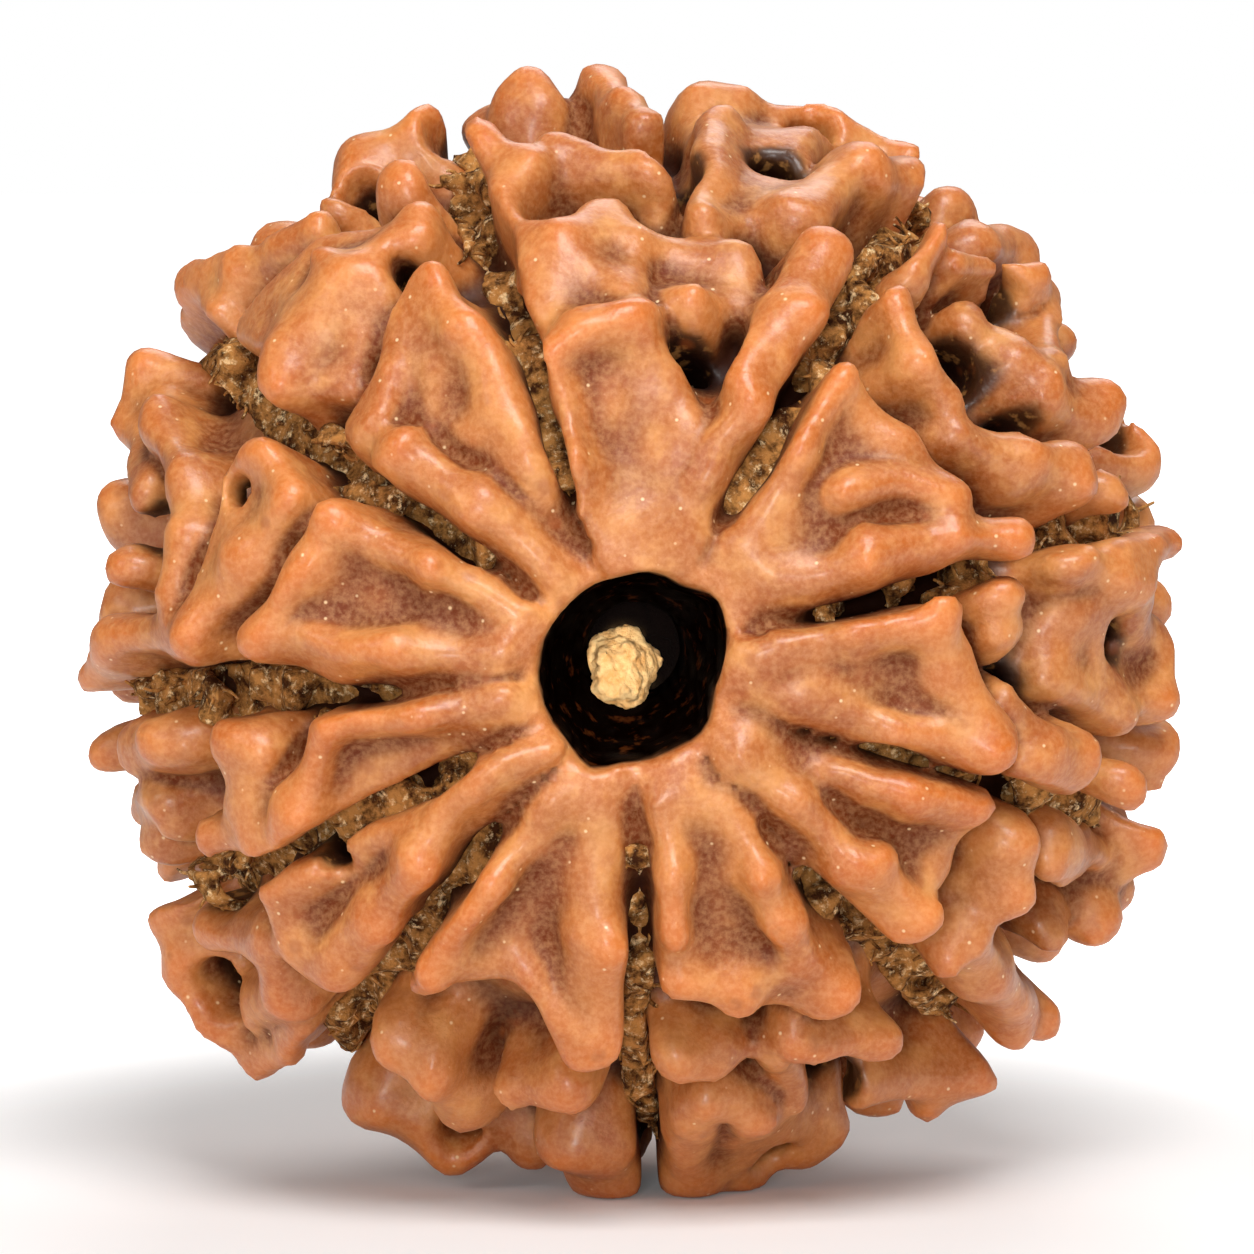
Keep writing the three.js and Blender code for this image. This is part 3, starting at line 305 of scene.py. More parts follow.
x_line, y_line, z_line = (low + GRID_STEP * np.arange(n) for low, n in zip(GRID_LOW, GRID_SHAPE))
X, Y, Z = np.meshgrid(x_line, y_line, z_line, indexing="ij", sparse=True)
NOT_ZERO = 1e-6
reach = np.sqrt(X * X + Y * Y + Z * Z) + NOT_ZERO
from_axis = np.sqrt(X * X + Z * Z)
from_front = np.arccos(np.clip(-Y / reach, -1, 1))
around = np.arctan2(Z, X) + np.zeros_like(reach)


def ease(value, low, high):
    """From 0 at low to 1 at high, softly."""
    share = np.clip((value - low) / (high - low), 0, 1)
    return share * share * (3 - 2 * share)


def soft_min(a, b, size):
    """The smaller of two fields, rounded where they meet: two solids joined with a fillet."""
    mix = np.maximum(size - np.abs(a - b), 0) / size
    return np.minimum(a, b) - mix * mix * size / 4


def soft_max(a, b, size):
    return -soft_min(-a, -b, size)


def body_reach(lift):
    """How far out the body lies on each way from the middle, grown by lift."""
    across = from_axis / reach / (BODY_RADIUS + lift)
    along = Y / reach / (BODY_HALF_DEPTH + lift)
    return 1 / np.sqrt(across * across + along * along)


def cloud(size, seed):
    """Soft random lumps of a size in mm, from -1 to 1, over the whole grid."""
    cells = [int(n * GRID_STEP / size) + 3 for n in GRID_SHAPE]
    field = np.random.default_rng(seed).uniform(-1, 1, cells)
    for axis, n in enumerate(GRID_SHAPE):
        at = np.arange(n) * GRID_STEP / size
        cell = at.astype(int)
        share = ease(at - cell, 0, 1).reshape([-1 if i == axis else 1 for i in range(3)])
        low = np.take(field, cell, axis)
        field = low + (np.take(field, cell + 1, axis) - low) * share
    return field


# No knob grew straight: each place is shifted a little, in waves of some two millimetres and of one
WARP_WAVES = ((0.34, 2.1, 31), (0.14, 0.95, 41))  # depth, size, seed
WARP = np.stack([
    sum(depth * cloud(size, seed + axis) for depth, size, seed in WARP_WAVES) for axis in range(3)
], -1)


def seen_at(x, z, lift):
    """The point of the body, grown by lift, that the front view shows at x, z."""
    rise = z + HOLE_IN_VIEW
    foot = np.array([x, rise * math.sin(VIEW_RISE), rise * math.cos(VIEW_RISE)])
    size = np.array([BODY_RADIUS + lift, BODY_HALF_DEPTH + lift, BODY_RADIUS + lift])
    start, step = foot / size, TOWARDS_VIEW / size
    half = start @ step
    inside = half * half - (step @ step) * (start @ start - 1)
    return foot + TOWARDS_VIEW * ((math.sqrt(inside) - half) / (step @ step) if inside > 0 else 0)


def near(centre, size):
    """The grid's part within size of a point: its slices, and its places, shifted a little."""
    low = np.clip(((centre - size - GRID_LOW) / GRID_STEP).astype(int), 0, GRID_SHAPE)
    high = np.clip(((centre + size - GRID_LOW) / GRID_STEP).astype(int) + 2, 0, GRID_SHAPE)
    part = tuple(slice(a, b) for a, b in zip(low, high))
    places = np.meshgrid(x_line[part[0]], y_line[part[1]], z_line[part[2]], indexing="ij")
    return part, np.stack(places, -1) + WARP[part]


def line_distance(place, start, end, start_radius, end_radius, waist=0.0):
    """How far places are from a ball swept along a line, which may be thinner half way."""
    line, offset = end - start, place - start
    share = np.clip(offset @ line / max(line @ line, NOT_ZERO), 0, 1)
    away = np.linalg.norm(offset - share[..., None] * line, axis=-1)
    thinner = 1 - 4 * waist * share * (1 - share)
    return away - (start_radius + (end_radius - start_radius) * share) * thinner


def flat_distance(place, a, b, c):
    """How far places are from a triangle."""
    face = np.cross(b - a, a - c)
    sides, edges = 0, []
    for start, end in ((a, b), (b, c), (c, a)):
        line, offset = end - start, place - start
        sides = sides + np.sign(offset @ np.cross(line, face))
        share = np.clip(offset @ line / (line @ line), 0, 1)
        edges.append(np.linalg.norm(offset - share[..., None] * line, axis=-1))
    above = np.abs((place - a) @ face) / np.linalg.norm(face)
    return np.where(sides >= 2, above, np.minimum.reduce(edges))


def sunk(point, depth):
    return point * (1 - depth / np.linalg.norm(point))


def keep_to_sector(sector, part, away):
    grown = soft_min(lobes[part], away, FILLET)
    lobes[part] = np.where(sector_number[part] == sector, grown, lobes[part])


def add_sweep(sector, start, end, start_radius, end_radius):
    """A ball swept along a line, with its root down to the body in ever wider layers."""
    for depth, growth in ROOT_LAYERS:
        low, high = sunk(start, depth), sunk(end, depth)
        radii = start_radius * growth, end_radius * growth
        part, place = near((low + high) / 2, np.linalg.norm(high - low) / 2 + max(radii) + FILLET)
        keep_to_sector(sector, part, line_distance(place, low, high, *radii, RIDGE_WAIST))


def add_flat(sector, a, b, c, radius):
    for depth, growth in ROOT_LAYERS:
        corners = [sunk(corner, depth) for corner in (a, b, c)]
        centre = sum(corners) / 3
        size = max(np.linalg.norm(corner - centre) for corner in corners) + radius * growth + FILLET
        part, place = near(centre, size)
        keep_to_sector(sector, part, flat_distance(place, *corners) - radius * growth)


def add_ridge(sector, points):
    centres = [seen_at(x, z, top - radius) for x, z, radius, top in points]
    radii = [point[2] for point in points]
    for i in range(max(len(points) - 1, 1)):
        j = min(i + 1, len(points) - 1)
        add_sweep(sector, centres[i], centres[j], radii[i], radii[j])


def add_plate(sector, points):
    corners = [seen_at(x, z, top - PLATE_RADIUS - PLATE_SINKS) for x, z, top in points]
    for second, third in zip(corners[1:], corners[2:]):
        add_flat(sector, corners[0], second, third, PLATE_RADIUS)


# The back's knobs follow a rule, with draws that are the same on each run: a fan of ribs beside the
# mouth, then rows of knobs at these angles from the back, some joined to the row before
BACK_SEED = 20
BACK_KNOB_ROWS = (52, 68, 84)
BACK_KNOB_SPACING = 2.9
BACK_KNOB_SIZE = 1.6
BACK_KNOB_MARGIN = 1.5
BACK_KNOB_RADII = (0.65, 1.0)
BACK_KNOB_TOPS = (0.55, 0.95)
BACK_KNOBS_JOINED = 0.6
BACK_KNOB_STRAYS = 0.03
BACK_ROW_STRAYS = 4
BACK_PIT_RADII = (0.3, 0.45)
BACK_PIT_ASIDE = 0.12
BACK_PIT_INWARD = 8
BACK_PIT_LIFT = 0.1
JOINT_SUNK = 0.97
JOINT_NARROWS = 0.7
JOINT_RADIUS = 0.5
BACK_PLATE_FROM = 13
BACK_PLATE_TO = 37
WIDE_SECTOR = math.radians(30)
WIDE_FAN = (0.2, 0.52, 0.82)
NARROW_FAN = (0.28, 0.74)
FAN_SPREAD = 0.75
FAN_STRAYS = 0.04
FAN_END_STRAYS = 5
FAN_SUNK = 0.975
FAN_RADII = (0.5, 0.68)
FAN_ROOT_RADIUS = 0.35
FAN_RISES_FROM = 0.1
FAN_TOPS = (1.1, 1.5)
WORD = 0xFFFFFFFF


def draws_from(seed):
    """Endless draws from 0 to 1, by a short mixing of 32-bit words."""
    while True:
        seed = (seed + 0x6D2B79F5) & WORD
        t = ((seed ^ (seed >> 15)) * (1 | seed)) & WORD
        t = ((t + (((t ^ (t >> 7)) * (61 | t)) & WORD)) & WORD) ^ t
        yield (t ^ (t >> 14)) / (WORD + 1)


back_draws = draws_from(BACK_SEED)


def between(low, high):
    return low + (high - low) * next(back_draws)


def around_each(spread):
    return between(-spread, spread)


def add_back(sector):
    start = GROOVES[sector][1]
    width = math.radians((GROOVES[(sector + 1) % len(GROOVES)][1] - start) % 360)
    edge = math.radians(start) + GROOVE_TWIST

    def place(share, from_back, lift):
        angle, tilt = edge + width * share, math.radians(from_back)
        across = math.sin(tilt)
        way = np.array([across * math.cos(angle), math.cos(tilt), across * math.sin(angle)])
        return way / math.hypot(across / (BODY_RADIUS + lift), way[1] / (BODY_HALF_DEPTH + lift))

    root = place(0.5, BACK_PLATE_FROM, 0)
    ends = []
    for share in WIDE_FAN if width > WIDE_SECTOR else NARROW_FAN:
        radius = between(*FAN_RADII)
        begin = place(0.5 + (share - 0.5) * FAN_SPREAD, BACK_PLATE_FROM - 1, FAN_RISES_FROM)
        across = share + around_each(FAN_STRAYS)
        ends.append(place(across, BACK_PLATE_TO + around_each(FAN_END_STRAYS), between(*FAN_TOPS)))
        add_sweep(sector, begin, ends[-1], FAN_ROOT_RADIUS, radius)
    for first, second in zip(ends, ends[1:]):
        add_flat(sector, root * FAN_SUNK, first * FAN_SUNK, second * FAN_SUNK, PLATE_RADIUS)
    before = ends
    for from_back in BACK_KNOB_ROWS:
        length = width * BODY_RADIUS * math.sin(math.radians(from_back))
        margin = BACK_KNOB_MARGIN / length
        count = max(1, math.floor((length - BACK_KNOB_SIZE) / BACK_KNOB_SPACING + 0.5) + 1)
        row = []
        for j in range(count):
            share = 0.5 if count == 1 else margin + (1 - 2 * margin) * j / (count - 1)
            radius = between(*BACK_KNOB_RADII)
            across = share + around_each(BACK_KNOB_STRAYS)
            at = place(across, from_back + around_each(BACK_ROW_STRAYS), between(*BACK_KNOB_TOPS))
            row.append(at)
            add_sweep(sector, at, at, radius, radius)
            if between(0, 1) < BACK_KNOBS_JOINED:
                joined = min(before, key=lambda other: np.linalg.norm(other - at))
                add_sweep(sector, at, joined * JOINT_SUNK, radius * JOINT_NARROWS, JOINT_RADIUS)
            else:
                hollow_at = place(share + BACK_PIT_ASIDE, from_back - BACK_PIT_INWARD, BACK_PIT_LIFT)
                pits.append((hollow_at, between(*BACK_PIT_RADII), hollow_at))
        before = row


# The grooves part ten sectors, each with knobs of its own
WANDER_WAVES = 7
WANDER_SHIFT = 2.4
FAR_ASIDE = 9.0
from_mouth = np.minimum(from_front, math.pi - from_front)
opened = ease(from_mouth, GROOVE_STARTS, GROOVE_IS_DEEP)
floor_reach = body_reach(-GROOVE_DEPTH * opened)
beside_groove = np.full(GRID_SHAPE, FAR_ASIDE)
groove_number = np.zeros(GRID_SHAPE, int)
sector_number = np.zeros(GRID_SHAPE, int)
for number, (at_mouth, half_way) in enumerate(GROOVES):
    share = np.clip(from_front / (math.pi / 2), 0, 1)
    wander = GROOVE_WANDER / BODY_RADIUS * np.sin(WANDER_WAVES * from_front + WANDER_SHIFT * number)
    wander = wander * ease(from_front, GROOVE_STARTS, GROOVE_IS_DEEP)
    wander = wander + GROOVE_TWIST * ease(from_front, TWIST_FROM, TWIST_TO)
    middle = math.radians(at_mouth) + math.radians(half_way - at_mouth) * share + wander
    turn = (around - middle + math.pi) % (2 * math.pi) - math.pi
    aside = from_axis * np.abs(np.sin(np.clip(turn, -math.pi / 2, math.pi / 2)))
    nearer = aside < beside_groove
    groove_number[nearer] = number
    sector_number[nearer] = (number - (turn[nearer] < 0)) % len(GROOVES)
    beside_groove = np.minimum(beside_groove, aside)


# Crust and woody tissue fill the grooves' outer ends, and the lowest groove all along
LOWEST_GROOVE = 7
LOWEST_DEPTH = 0.3
ENDS_ARE_FILLED = 0.5
FILL_STARTS = math.radians(48)
FILL_IS_DONE = math.radians(74)
lowest = groove_number == LOWEST_GROOVE
floor_reach = floor_reach + ENDS_ARE_FILLED * ease(from_mouth, FILL_STARTS, FILL_IS_DONE)
floor_reach = np.where(lowest, np.maximum(floor_reach, body_reach(-LOWEST_DEPTH * opened)), floor_reach)


# All that stands on the body comes first, in a field of distances of its own
PIT_LIFT = 0.3
PIT_WIDENS = 1.2
PIT_LEANS = 0.9
lobes = np.full(GRID_SHAPE, CLEAR)
pits = []
for number, sector in enumerate(FRONT_SECTORS):
    for points in sector["plates"]:
        add_plate(number, points)
    for points in sector["ridges"]:
        add_ridge(number, points)
    for point in sector["knobs"]:
        add_ridge(number, [point])
    for x, z, radius in sector["pits"]:
        centre = seen_at(x, z, PIT_LIFT)
        outward = centre / np.linalg.norm(centre)
        pits.append((centre, radius * PIT_WIDENS, outward + PIT_LEANS * TOWARDS_VIEW))
for number in range(len(GROOVES)):
    add_back(number)
for number, x, start, end, depth, radius in FEET:
    add_sweep(number, np.array([x, start, -depth]), np.array([x, end, -depth]), radius, radius)

# The body's valleys and the grooves, cut into what stands on the body
GROOVE_HALF_WIDTH = 0.65
GROOVE_SLIT = 0.26
LEAST_SLIT = 0.13
BODY_WAVES = 0.10, 1.6
RAGGED_SIZE = 1.3
RAGGED_WALLS = 0.3
RAGGED_SLIT = 0.8
WIDTH_AT_MOUTH = 0.35
ROOT_FILLETS = 1.0, 0.4  # beside the mouths, and in the valleys
shelving = ease(from_mouth, VALLEY_STARTS, VALLEY_IS_DEEP)
body = reach - body_reach(-VALLEY_DEPTH * shelving) + BODY_WAVES[0] * cloud(BODY_WAVES[1], 1)
ragged = cloud(RAGGED_SIZE, 2)
wide = GROOVE_HALF_WIDTH * (WIDTH_AT_MOUTH + (1 - WIDTH_AT_MOUTH) * opened) * (1 + RAGGED_WALLS * ragged)
slit = GROOVE_SLIT * opened * (1 + RAGGED_SLIT * ragged)
groove = soft_max(beside_groove - wide, floor_reach - reach, 0.5)
gap = soft_max(beside_groove - slit, floor_reach - reach, 0.3)
solid = soft_max(body, -groove, 0.4)
solid = soft_min(solid, lobes, ROOT_FILLETS[0] - (ROOT_FILLETS[0] - ROOT_FILLETS[1]) * shelving)
solid = soft_max(solid, np.where(slit > LEAST_SLIT, -gap, -FAR_ASIDE), 0.25)

# Pits between the knobs, sunk towards the middle
PIT_SINKS = 1.5
PIT_RISES = 2.5
PIT_SPREAD = 1.4
PIT_ROOM = 3.2
pitted = np.full(GRID_SHAPE, CLEAR)
for centre, radius, way in pits:
    way = way / np.linalg.norm(way)
    part, place = near(centre, PIT_ROOM)
    bottom, top = centre - way * PIT_SINKS, centre + way * PIT_RISES
    bored = line_distance(place, bottom, top, radius, radius * PIT_SPREAD)
    solid[part] = soft_max(solid[part], -bored, PIT_FILLET)
    shaded = np.maximum(bored, (place - centre) @ way)
    pitted[part] = np.minimum(pitted[part], shaded)

# The string hole, with the front mouth's own outline: x, z from its axis
FRONT_MOUTH = np.array([
    (0.3, 2.4), (1.15, 1.95), (1.95, 1.7), (2.2, 0.45), (1.85, -0.55), (1.65, -1.5), (0.8, -2.0),
    (-0.35, -2.3), (-1.0, -2.45), (-1.6, -1.7), (-2.2, -0.8), (-2.15, 0.7), (-1.7, 1.4), (-0.85, 2.1),
])
MOUTH_RADIUS = 2.2
HOLE_PLACES = (-12, -9.9, -8.2, -6.8, -6.0, -4.0, 2.0, 6.0, 9.8, 12)
HOLE_RADII = (2.2, 2.15, 1.98, 1.5, 1.18, 1.15, 1.15, 1.15, 1.25, 1.45)
HOLE_SHARES = (1, 1, 0.9, 0.5, 0.1, 0, 0, 0, 0.4, 0.5)
mouth_angle = np.arctan2(FRONT_MOUTH[:, 1], FRONT_MOUTH[:, 0])
order = np.argsort(mouth_angle)
mouth_reach = np.linalg.norm(FRONT_MOUTH, axis=1)
outline = np.interp(around, mouth_angle[order], mouth_reach[order], period=2 * math.pi)
hole_radius = np.interp(y_line, HOLE_PLACES, HOLE_RADII)[None, :, None]
hole_share = np.interp(y_line, HOLE_PLACES, HOLE_SHARES)[None, :, None]
hole = from_axis - hole_radius * (1 + hole_share * (outline / MOUTH_RADIUS - 1))
solid = np.maximum(solid, -hole)

# A fine unevenness all over, and the flats that the stone lies on
COARSE_WAVES = 0.10, 1.6
FINE_WAVES = 0.05, 0.8
solid = solid + COARSE_WAVES[0] * cloud(COARSE_WAVES[1], 3) + FINE_WAVES[0] * cloud(FINE_WAVES[1], 4)
solid = np.maximum(solid, -MIDDLE[2] - Z)


def surface_of(field, name, least=1.0):
    """The skin of a field of distances, at its true place in metres. A crumb that came loose is dropped
    if it has less than this share of the largest one's points."""
    grid = openvdb.FloatGrid(CLEAR)
    grid.copyFromArray(np.ascontiguousarray(field, dtype=np.float32))
    points, quads = grid.convertToQuads(isovalue=0.0)
    places = (np.asarray(points) * GRID_STEP + GRID_LOW + MIDDLE) * MM
    mesh = bpy.data.meshes.new(name)
    mesh.from_pydata(places.tolist(), [], np.asarray(quads).tolist())
    mesh.validate()
    made = bpy.data.objects.new(name, mesh)
    bpy.context.scene.collection.objects.link(made)
    for other in bpy.context.selected_objects:
        other.select_set(False)
    made.select_set(True)
    bpy.context.view_layer.objects.active = made
    bpy.ops.object.mode_set(mode="EDIT")
    bpy.ops.mesh.select_all(action="SELECT")
    bpy.ops.mesh.normals_make_consistent(inside=False)
    bpy.ops.mesh.separate(type="LOOSE")
    bpy.ops.object.mode_set(mode="OBJECT")
    crumbs = sorted(bpy.context.selected_objects, key=lambda part: len(part.data.vertices))
    made = crumbs.pop()
    for crumb in crumbs:
        if len(crumb.data.vertices) < least * len(made.data.vertices):
            bpy.data.objects.remove(crumb)
    bpy.context.view_layer.objects.active = made
    bpy.ops.object.join()
    bpy.ops.object.shade_smooth()
    made.name = name
    return made


def finish_with(piece, kind, **settings):
    bpy.context.view_layer.objects.active = piece
    step = piece.modifiers.new(kind.title(), kind)
    for name, value in settings.items():
        setattr(step, name, value)
    bpy.ops.object.modifier_apply(modifier=step.name)


KEPT_FACES = 0.7
stone = surface_of(solid, "seed_stone")
finish_with(stone, "SMOOTH", factor=0.5, iterations=2)
finish_with(stone, "DECIMATE", ratio=KEPT_FACES)


def blurred(field, cells):
    """A field with each value made the mean of those within so many cells of it, along each axis."""
    for axis, count in enumerate(field.shape):
        total, at = np.cumsum(field, axis=axis), np.arange(count)
        ahead = np.take(total, np.minimum(at + cells, count - 1), axis)
        behind = np.take(total, np.maximum(at - cells - 1, 0), axis)
        field = (ahead - behind) / (2 * cells + 1)
    return field


def measure(piece, name, field):
    """Gives a piece's points their values in a field, as an attribute that its material reads."""
    places = np.empty(len(piece.data.vertices) * 3)
    piece.data.vertices.foreach_get("co", places)
    at = (places.reshape(-1, 3) / MM - MIDDLE - GRID_LOW) / GRID_STEP
    cells = np.clip(at.astype(int), 0, np.array(GRID_SHAPE) - 2)
    values = 0
    for corner in np.ndindex(2, 2, 2):
        share = np.prod(np.where(corner, at - cells, 1 - at + cells), axis=1)
        values = values + share * field[tuple((cells + corner).T)]
    piece.data.attributes.new(name, "FLOAT", "POINT").data.foreach_set("value", values.astype(np.float32))


# For the finish and for its painted shade: the height over the body, how hemmed in a point is by near
# and by farther stone, and whether it is in a pit or in the string hole
PIT_EDGE = 0.5, 0.1
HOLE_EDGE = 0.3, 0.1
MOUTH_EDGE = -0.15, -0.5
filled = (solid < 0).astype(float)
above_body = reach - body_reach(0)
measure(stone, "height", above_body)
measure(stone, "hollow", blurred(blurred(filled, 2), 2))
measure(stone, "deep_shade", blurred(blurred(filled, 6), 5))
measure(stone, "pit", ease(pitted, *PIT_EDGE))
measure(stone, "inside", ease(hole, *HOLE_EDGE) * ease(above_body, *MOUTH_EDGE))


def linear(code):
    """An sRGB hex colour in linear light, with alpha."""
    parts = [int(code[i:i + 2], 16) / 255 for i in (0, 2, 4)]
    return tuple(p / 12.92 if p <= 0.04045 else ((p + 0.055) / 1.055) ** 2.4 for p in parts) + (1.0,)


def per_mm(size):
    """The scale of a pattern whose features are size millimetres apart."""
    return 1 / (size * MM)


def node(tree, kind, sockets=(), out=0, **settings):
    """A new node's output. Its settings are set, and its sockets get values or other nodes' outputs."""
    made = tree.nodes.new(kind)
    for name, value in settings.items():
        setattr(made, name, value)
    for key, value in dict(sockets).items():
        if isinstance(value, bpy.types.NodeSocket):
            tree.links.new(value, made.inputs[key])
        else:
            made.inputs[key].default_value = value
    return made.outputs[out]


def new_material(name):
    material = bpy.data.materials.new(name)
    material.use_nodes = True
    return material, material.node_tree, material.node_tree.nodes["Principled BSDF"]


# Hard woody stone, scrubbed clean and rubbed with oil: semi-matt and waxy, more orange where fingers
# polish the crests, with pale specks and red-brown freckles. Painted shade darkens its hollows, pits
# and groove floors.
waxed, tree, shader = new_material("oiled_seed_stone")
place = node(tree, "ShaderNodeTexCoord", out="Object")
height, hollow, deep_shade, pit, inside = (
    node(tree, "ShaderNodeAttribute", out="Fac", attribute_name=name)
    for name in ("height", "hollow", "deep_shade", "pit", "inside")
)
mottle, blotch, flakes, ripple, grain = (
    node(tree, "ShaderNodeTexNoise", {
        "Vector": place, "Scale": per_mm(size), "Detail": 3.0, "Roughness": 0.6,
    })
    for size in (3.2, 1.1, 0.5, 0.45, 0.16)
)
freckles, specks = (
    node(tree, "ShaderNodeTexVoronoi", {"Vector": place, "Scale": per_mm(size)}, "Distance")
    for size in (0.9, 0.42)
)
speck_chance = node(tree, "ShaderNodeSeparateColor", {0: specks.node.outputs["Color"]})
polished, freckled, speckled, crumbed, dusty = (
    node(tree, "ShaderNodeMapRange", {"Value": measured, "From Min": low, "From Max": high, "To Max": most})
    for measured, low, high, most in (
        (hollow, 0.5, 0.3, 0.65), (blotch, 0.5, 0.62, 0.5), (speck_chance, 0.6, 0.62, 0.75),
        (pit, 0.2, 0.8, 0.7), (inside, 0.0, 1.0, 0.7),
    )
)

# Each colour lies over the last where a measure goes from one value to another, by a share at most
skin = linear("A2521A")
for measured, low, high, most, colour in (
    (mottle, 0.35, 0.65, 1.0, "C07336"),
    (blotch, 0.45, 0.7, 0.5, "DE9C56"),
    (height, 0.7, 1.9, polished, "D46C1C"),
    # painted shade: dark red-brown where near stone hems a point in
    (hollow, 0.47, 0.62, 0.92, "642404"),
    (grain, 0.3, 0.75, 0.22, "F2BC84"),
    # painted shade: near black where farther stone hems a point in
    (deep_shade, 0.58, 0.76, 1.0, "2E1206"),
    # painted shade: pits coloured near black
    (pit, 0.0, 1.0, 0.92, "1C0802"),
    (flakes, 0.56, 0.68, crumbed, "B07C44"),
    # painted shade: near black where the surface lies well below the body, down in the grooves
    (height, -0.5, -1.5, 1.0, "1C0A04"),
    (freckles, 0.32, 0.1, freckled, "9C4F22"),
    (specks, 0.15, 0.04, speckled, "F2D3A4"),
    (inside, 0.0, 1.0, 1.0, "050100"),
    (flakes, 0.56, 0.72, dusty, "4E260E"),
):
    ends = {"Value": measured, "From Min": low, "From Max": high, "To Max": most}
    share = node(tree, "ShaderNodeMapRange", ends, interpolation_type="SMOOTHSTEP")
    skin = node(tree, "ShaderNodeMix", {0: share, 6: skin, 7: linear(colour)}, 2, data_type="RGBA")
tree.links.new(skin, shader.inputs["Base Color"])

# Rubbed crests are the smoothest, the hollows are dull and the dry wall of the hole is matt
gloss = 0.36
for measured, low, high, dull in (
    (blotch, 0.2, 0.8, 0.5), (hollow, 0.5, 0.75, 0.7), (inside, 0.0, 1.0, 0.95),
):
    ends = {"Value": measured, "From Min": low, "From Max": high, "To Min": gloss, "To Max": dull}
    gloss = node(tree, "ShaderNodeMapRange", ends)
tree.links.new(gloss, shader.inputs["Roughness"])
for socket, low, high, most, least in (
    ("Specular IOR Level", 0.45, 0.7, 0.5, 0.1), ("Coat Weight", 0.4, 0.6, 0.25, 0.0),
):
    ends = {"Value": hollow, "From Min": low, "From Max": high, "To Min": most, "To Max": least}
    sheen = node(tree, "ShaderNodeMapRange", ends)
    sheen = node(tree, "ShaderNodeMapRange", {"Value": inside, "To Min": sheen, "To Max": 0.0})
    tree.links.new(sheen, shader.inputs[socket])
LIGHT_SINKS_IN = 0.6
shader.inputs["Subsurface Weight"].default_value = 0.08
shader.inputs["Subsurface Radius"].default_value = (1.0, 0.45, 0.2)
shader.inputs["Subsurface Scale"].default_value = LIGHT_SINKS_IN * MM
shader.inputs["Coat Roughness"].default_value = 0.22
relief = node(tree, "ShaderNodeMath", {0: grain, 1: 0.35, 2: ripple}, operation="MULTIPLY_ADD")
bump = node(tree, "ShaderNodeBump", {"Height": relief, "Strength": 0.5, "Distance": 0.07 * MM})
tree.links.new(bump, shader.inputs["Normal"])

stone.data.materials.append(waxed)
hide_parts("stone")
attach(stone, "root")

# Dried pulp: fibrous tan flesh of the fruit, still caught on the floor of each groove. It is a porous
# crust, thick in places and torn away in others, with loose fibres standing out of it.
PULP_HALF_WIDTH = 0.75
PULP_THICKNESS = 1.3
PULP_IS_LEFT = 0.66, 0.4  # of its thickness, and how much that comes and goes
PULP_IN_LOWEST = 0.5
PULP_ROOT = 0.35
PULP_STARTS = math.radians(23)
PULP_END_SLOPE = 12
CRUMBS_STAND = 0.35
CRUMBS_ASIDE = 0.25
PORE_SIZE = 0.8
PORE_SHARE = 0.04
PORE_EDGE = 0.8
PULP_FILLET = 0.2
crumbs = 0.5 * cloud(0.7, 11) + 0.6 * cloud(0.42, 12)
caught = 1 - PULP_IN_LOWEST * lowest
thick = PULP_THICKNESS * (PULP_IS_LEFT[0] + PULP_IS_LEFT[1] * cloud(1.9, 13)) * opened * caught
top = floor_reach + thick + CRUMBS_STAND * crumbs
side = PULP_HALF_WIDTH * caught * (1 + CRUMBS_ASIDE * crumbs)
pulp_field = soft_max(beside_groove - side, reach - top, PULP_FILLET)
pulp_field = soft_max(pulp_field, floor_reach - PULP_ROOT - reach, PULP_FILLET)
pores = PORE_EDGE * (cloud(PORE_SIZE, 14) - PORE_SHARE) - 0.5 * (reach < floor_reach + 0.05)
pulp_field = np.maximum(pulp_field, pores)
pulp_field = np.maximum(pulp_field, (PULP_STARTS - from_mouth) * PULP_END_SLOPE)

dried, tree, shader = new_material("dried_fruit_pulp")
place = node(tree, "ShaderNodeTexCoord", out="Object")
shreds, flecks, crumble = (
    node(tree, "ShaderNodeTexNoise", {
        "Vector": place, "Scale": per_mm(size), "Detail": 4.0, "Roughness": 0.7,
    })
    for size in (0.5, 0.22, 0.18)
)
straw = linear("3C1E0A")
for measured, low, high, colour in ((shreds, 0.35, 0.64, "BE8446"), (flecks, 0.52, 0.73, "FADAA4")):
    ends = {"Value": measured, "From Min": low, "From Max": high}
    share = node(tree, "ShaderNodeMapRange", ends, interpolation_type="SMOOTHSTEP")
    straw = node(tree, "ShaderNodeMix", {0: share, 6: straw, 7: linear(colour)}, 2, data_type="RGBA")
tree.links.new(straw, shader.inputs["Base Color"])
shader.inputs["Roughness"].default_value = 0.9
shader.inputs["Specular IOR Level"].default_value = 0.1
bump = node(tree, "ShaderNodeBump", {"Height": crumble, "Strength": 0.8, "Distance": 0.12 * MM})
tree.links.new(bump, shader.inputs["Normal"])

FIBRES = 210
FIBRE_RADIUS = 0.05
FIBRE_STEPS = 5
FIBRE_STEP_LENGTHS = 0.08, 0.18
FIBRE_ROOT = 0.1
FIBRES_FROM = BODY_HALF_DEPTH - 0.4
FIBRE_RISES = 0.4
FIBRE_DROOPS = 0.2
FIBRE_TURNS = 0.6
FIBRE_TAPER = 1.3, 0.8
PULP_CRUMB = 0.02


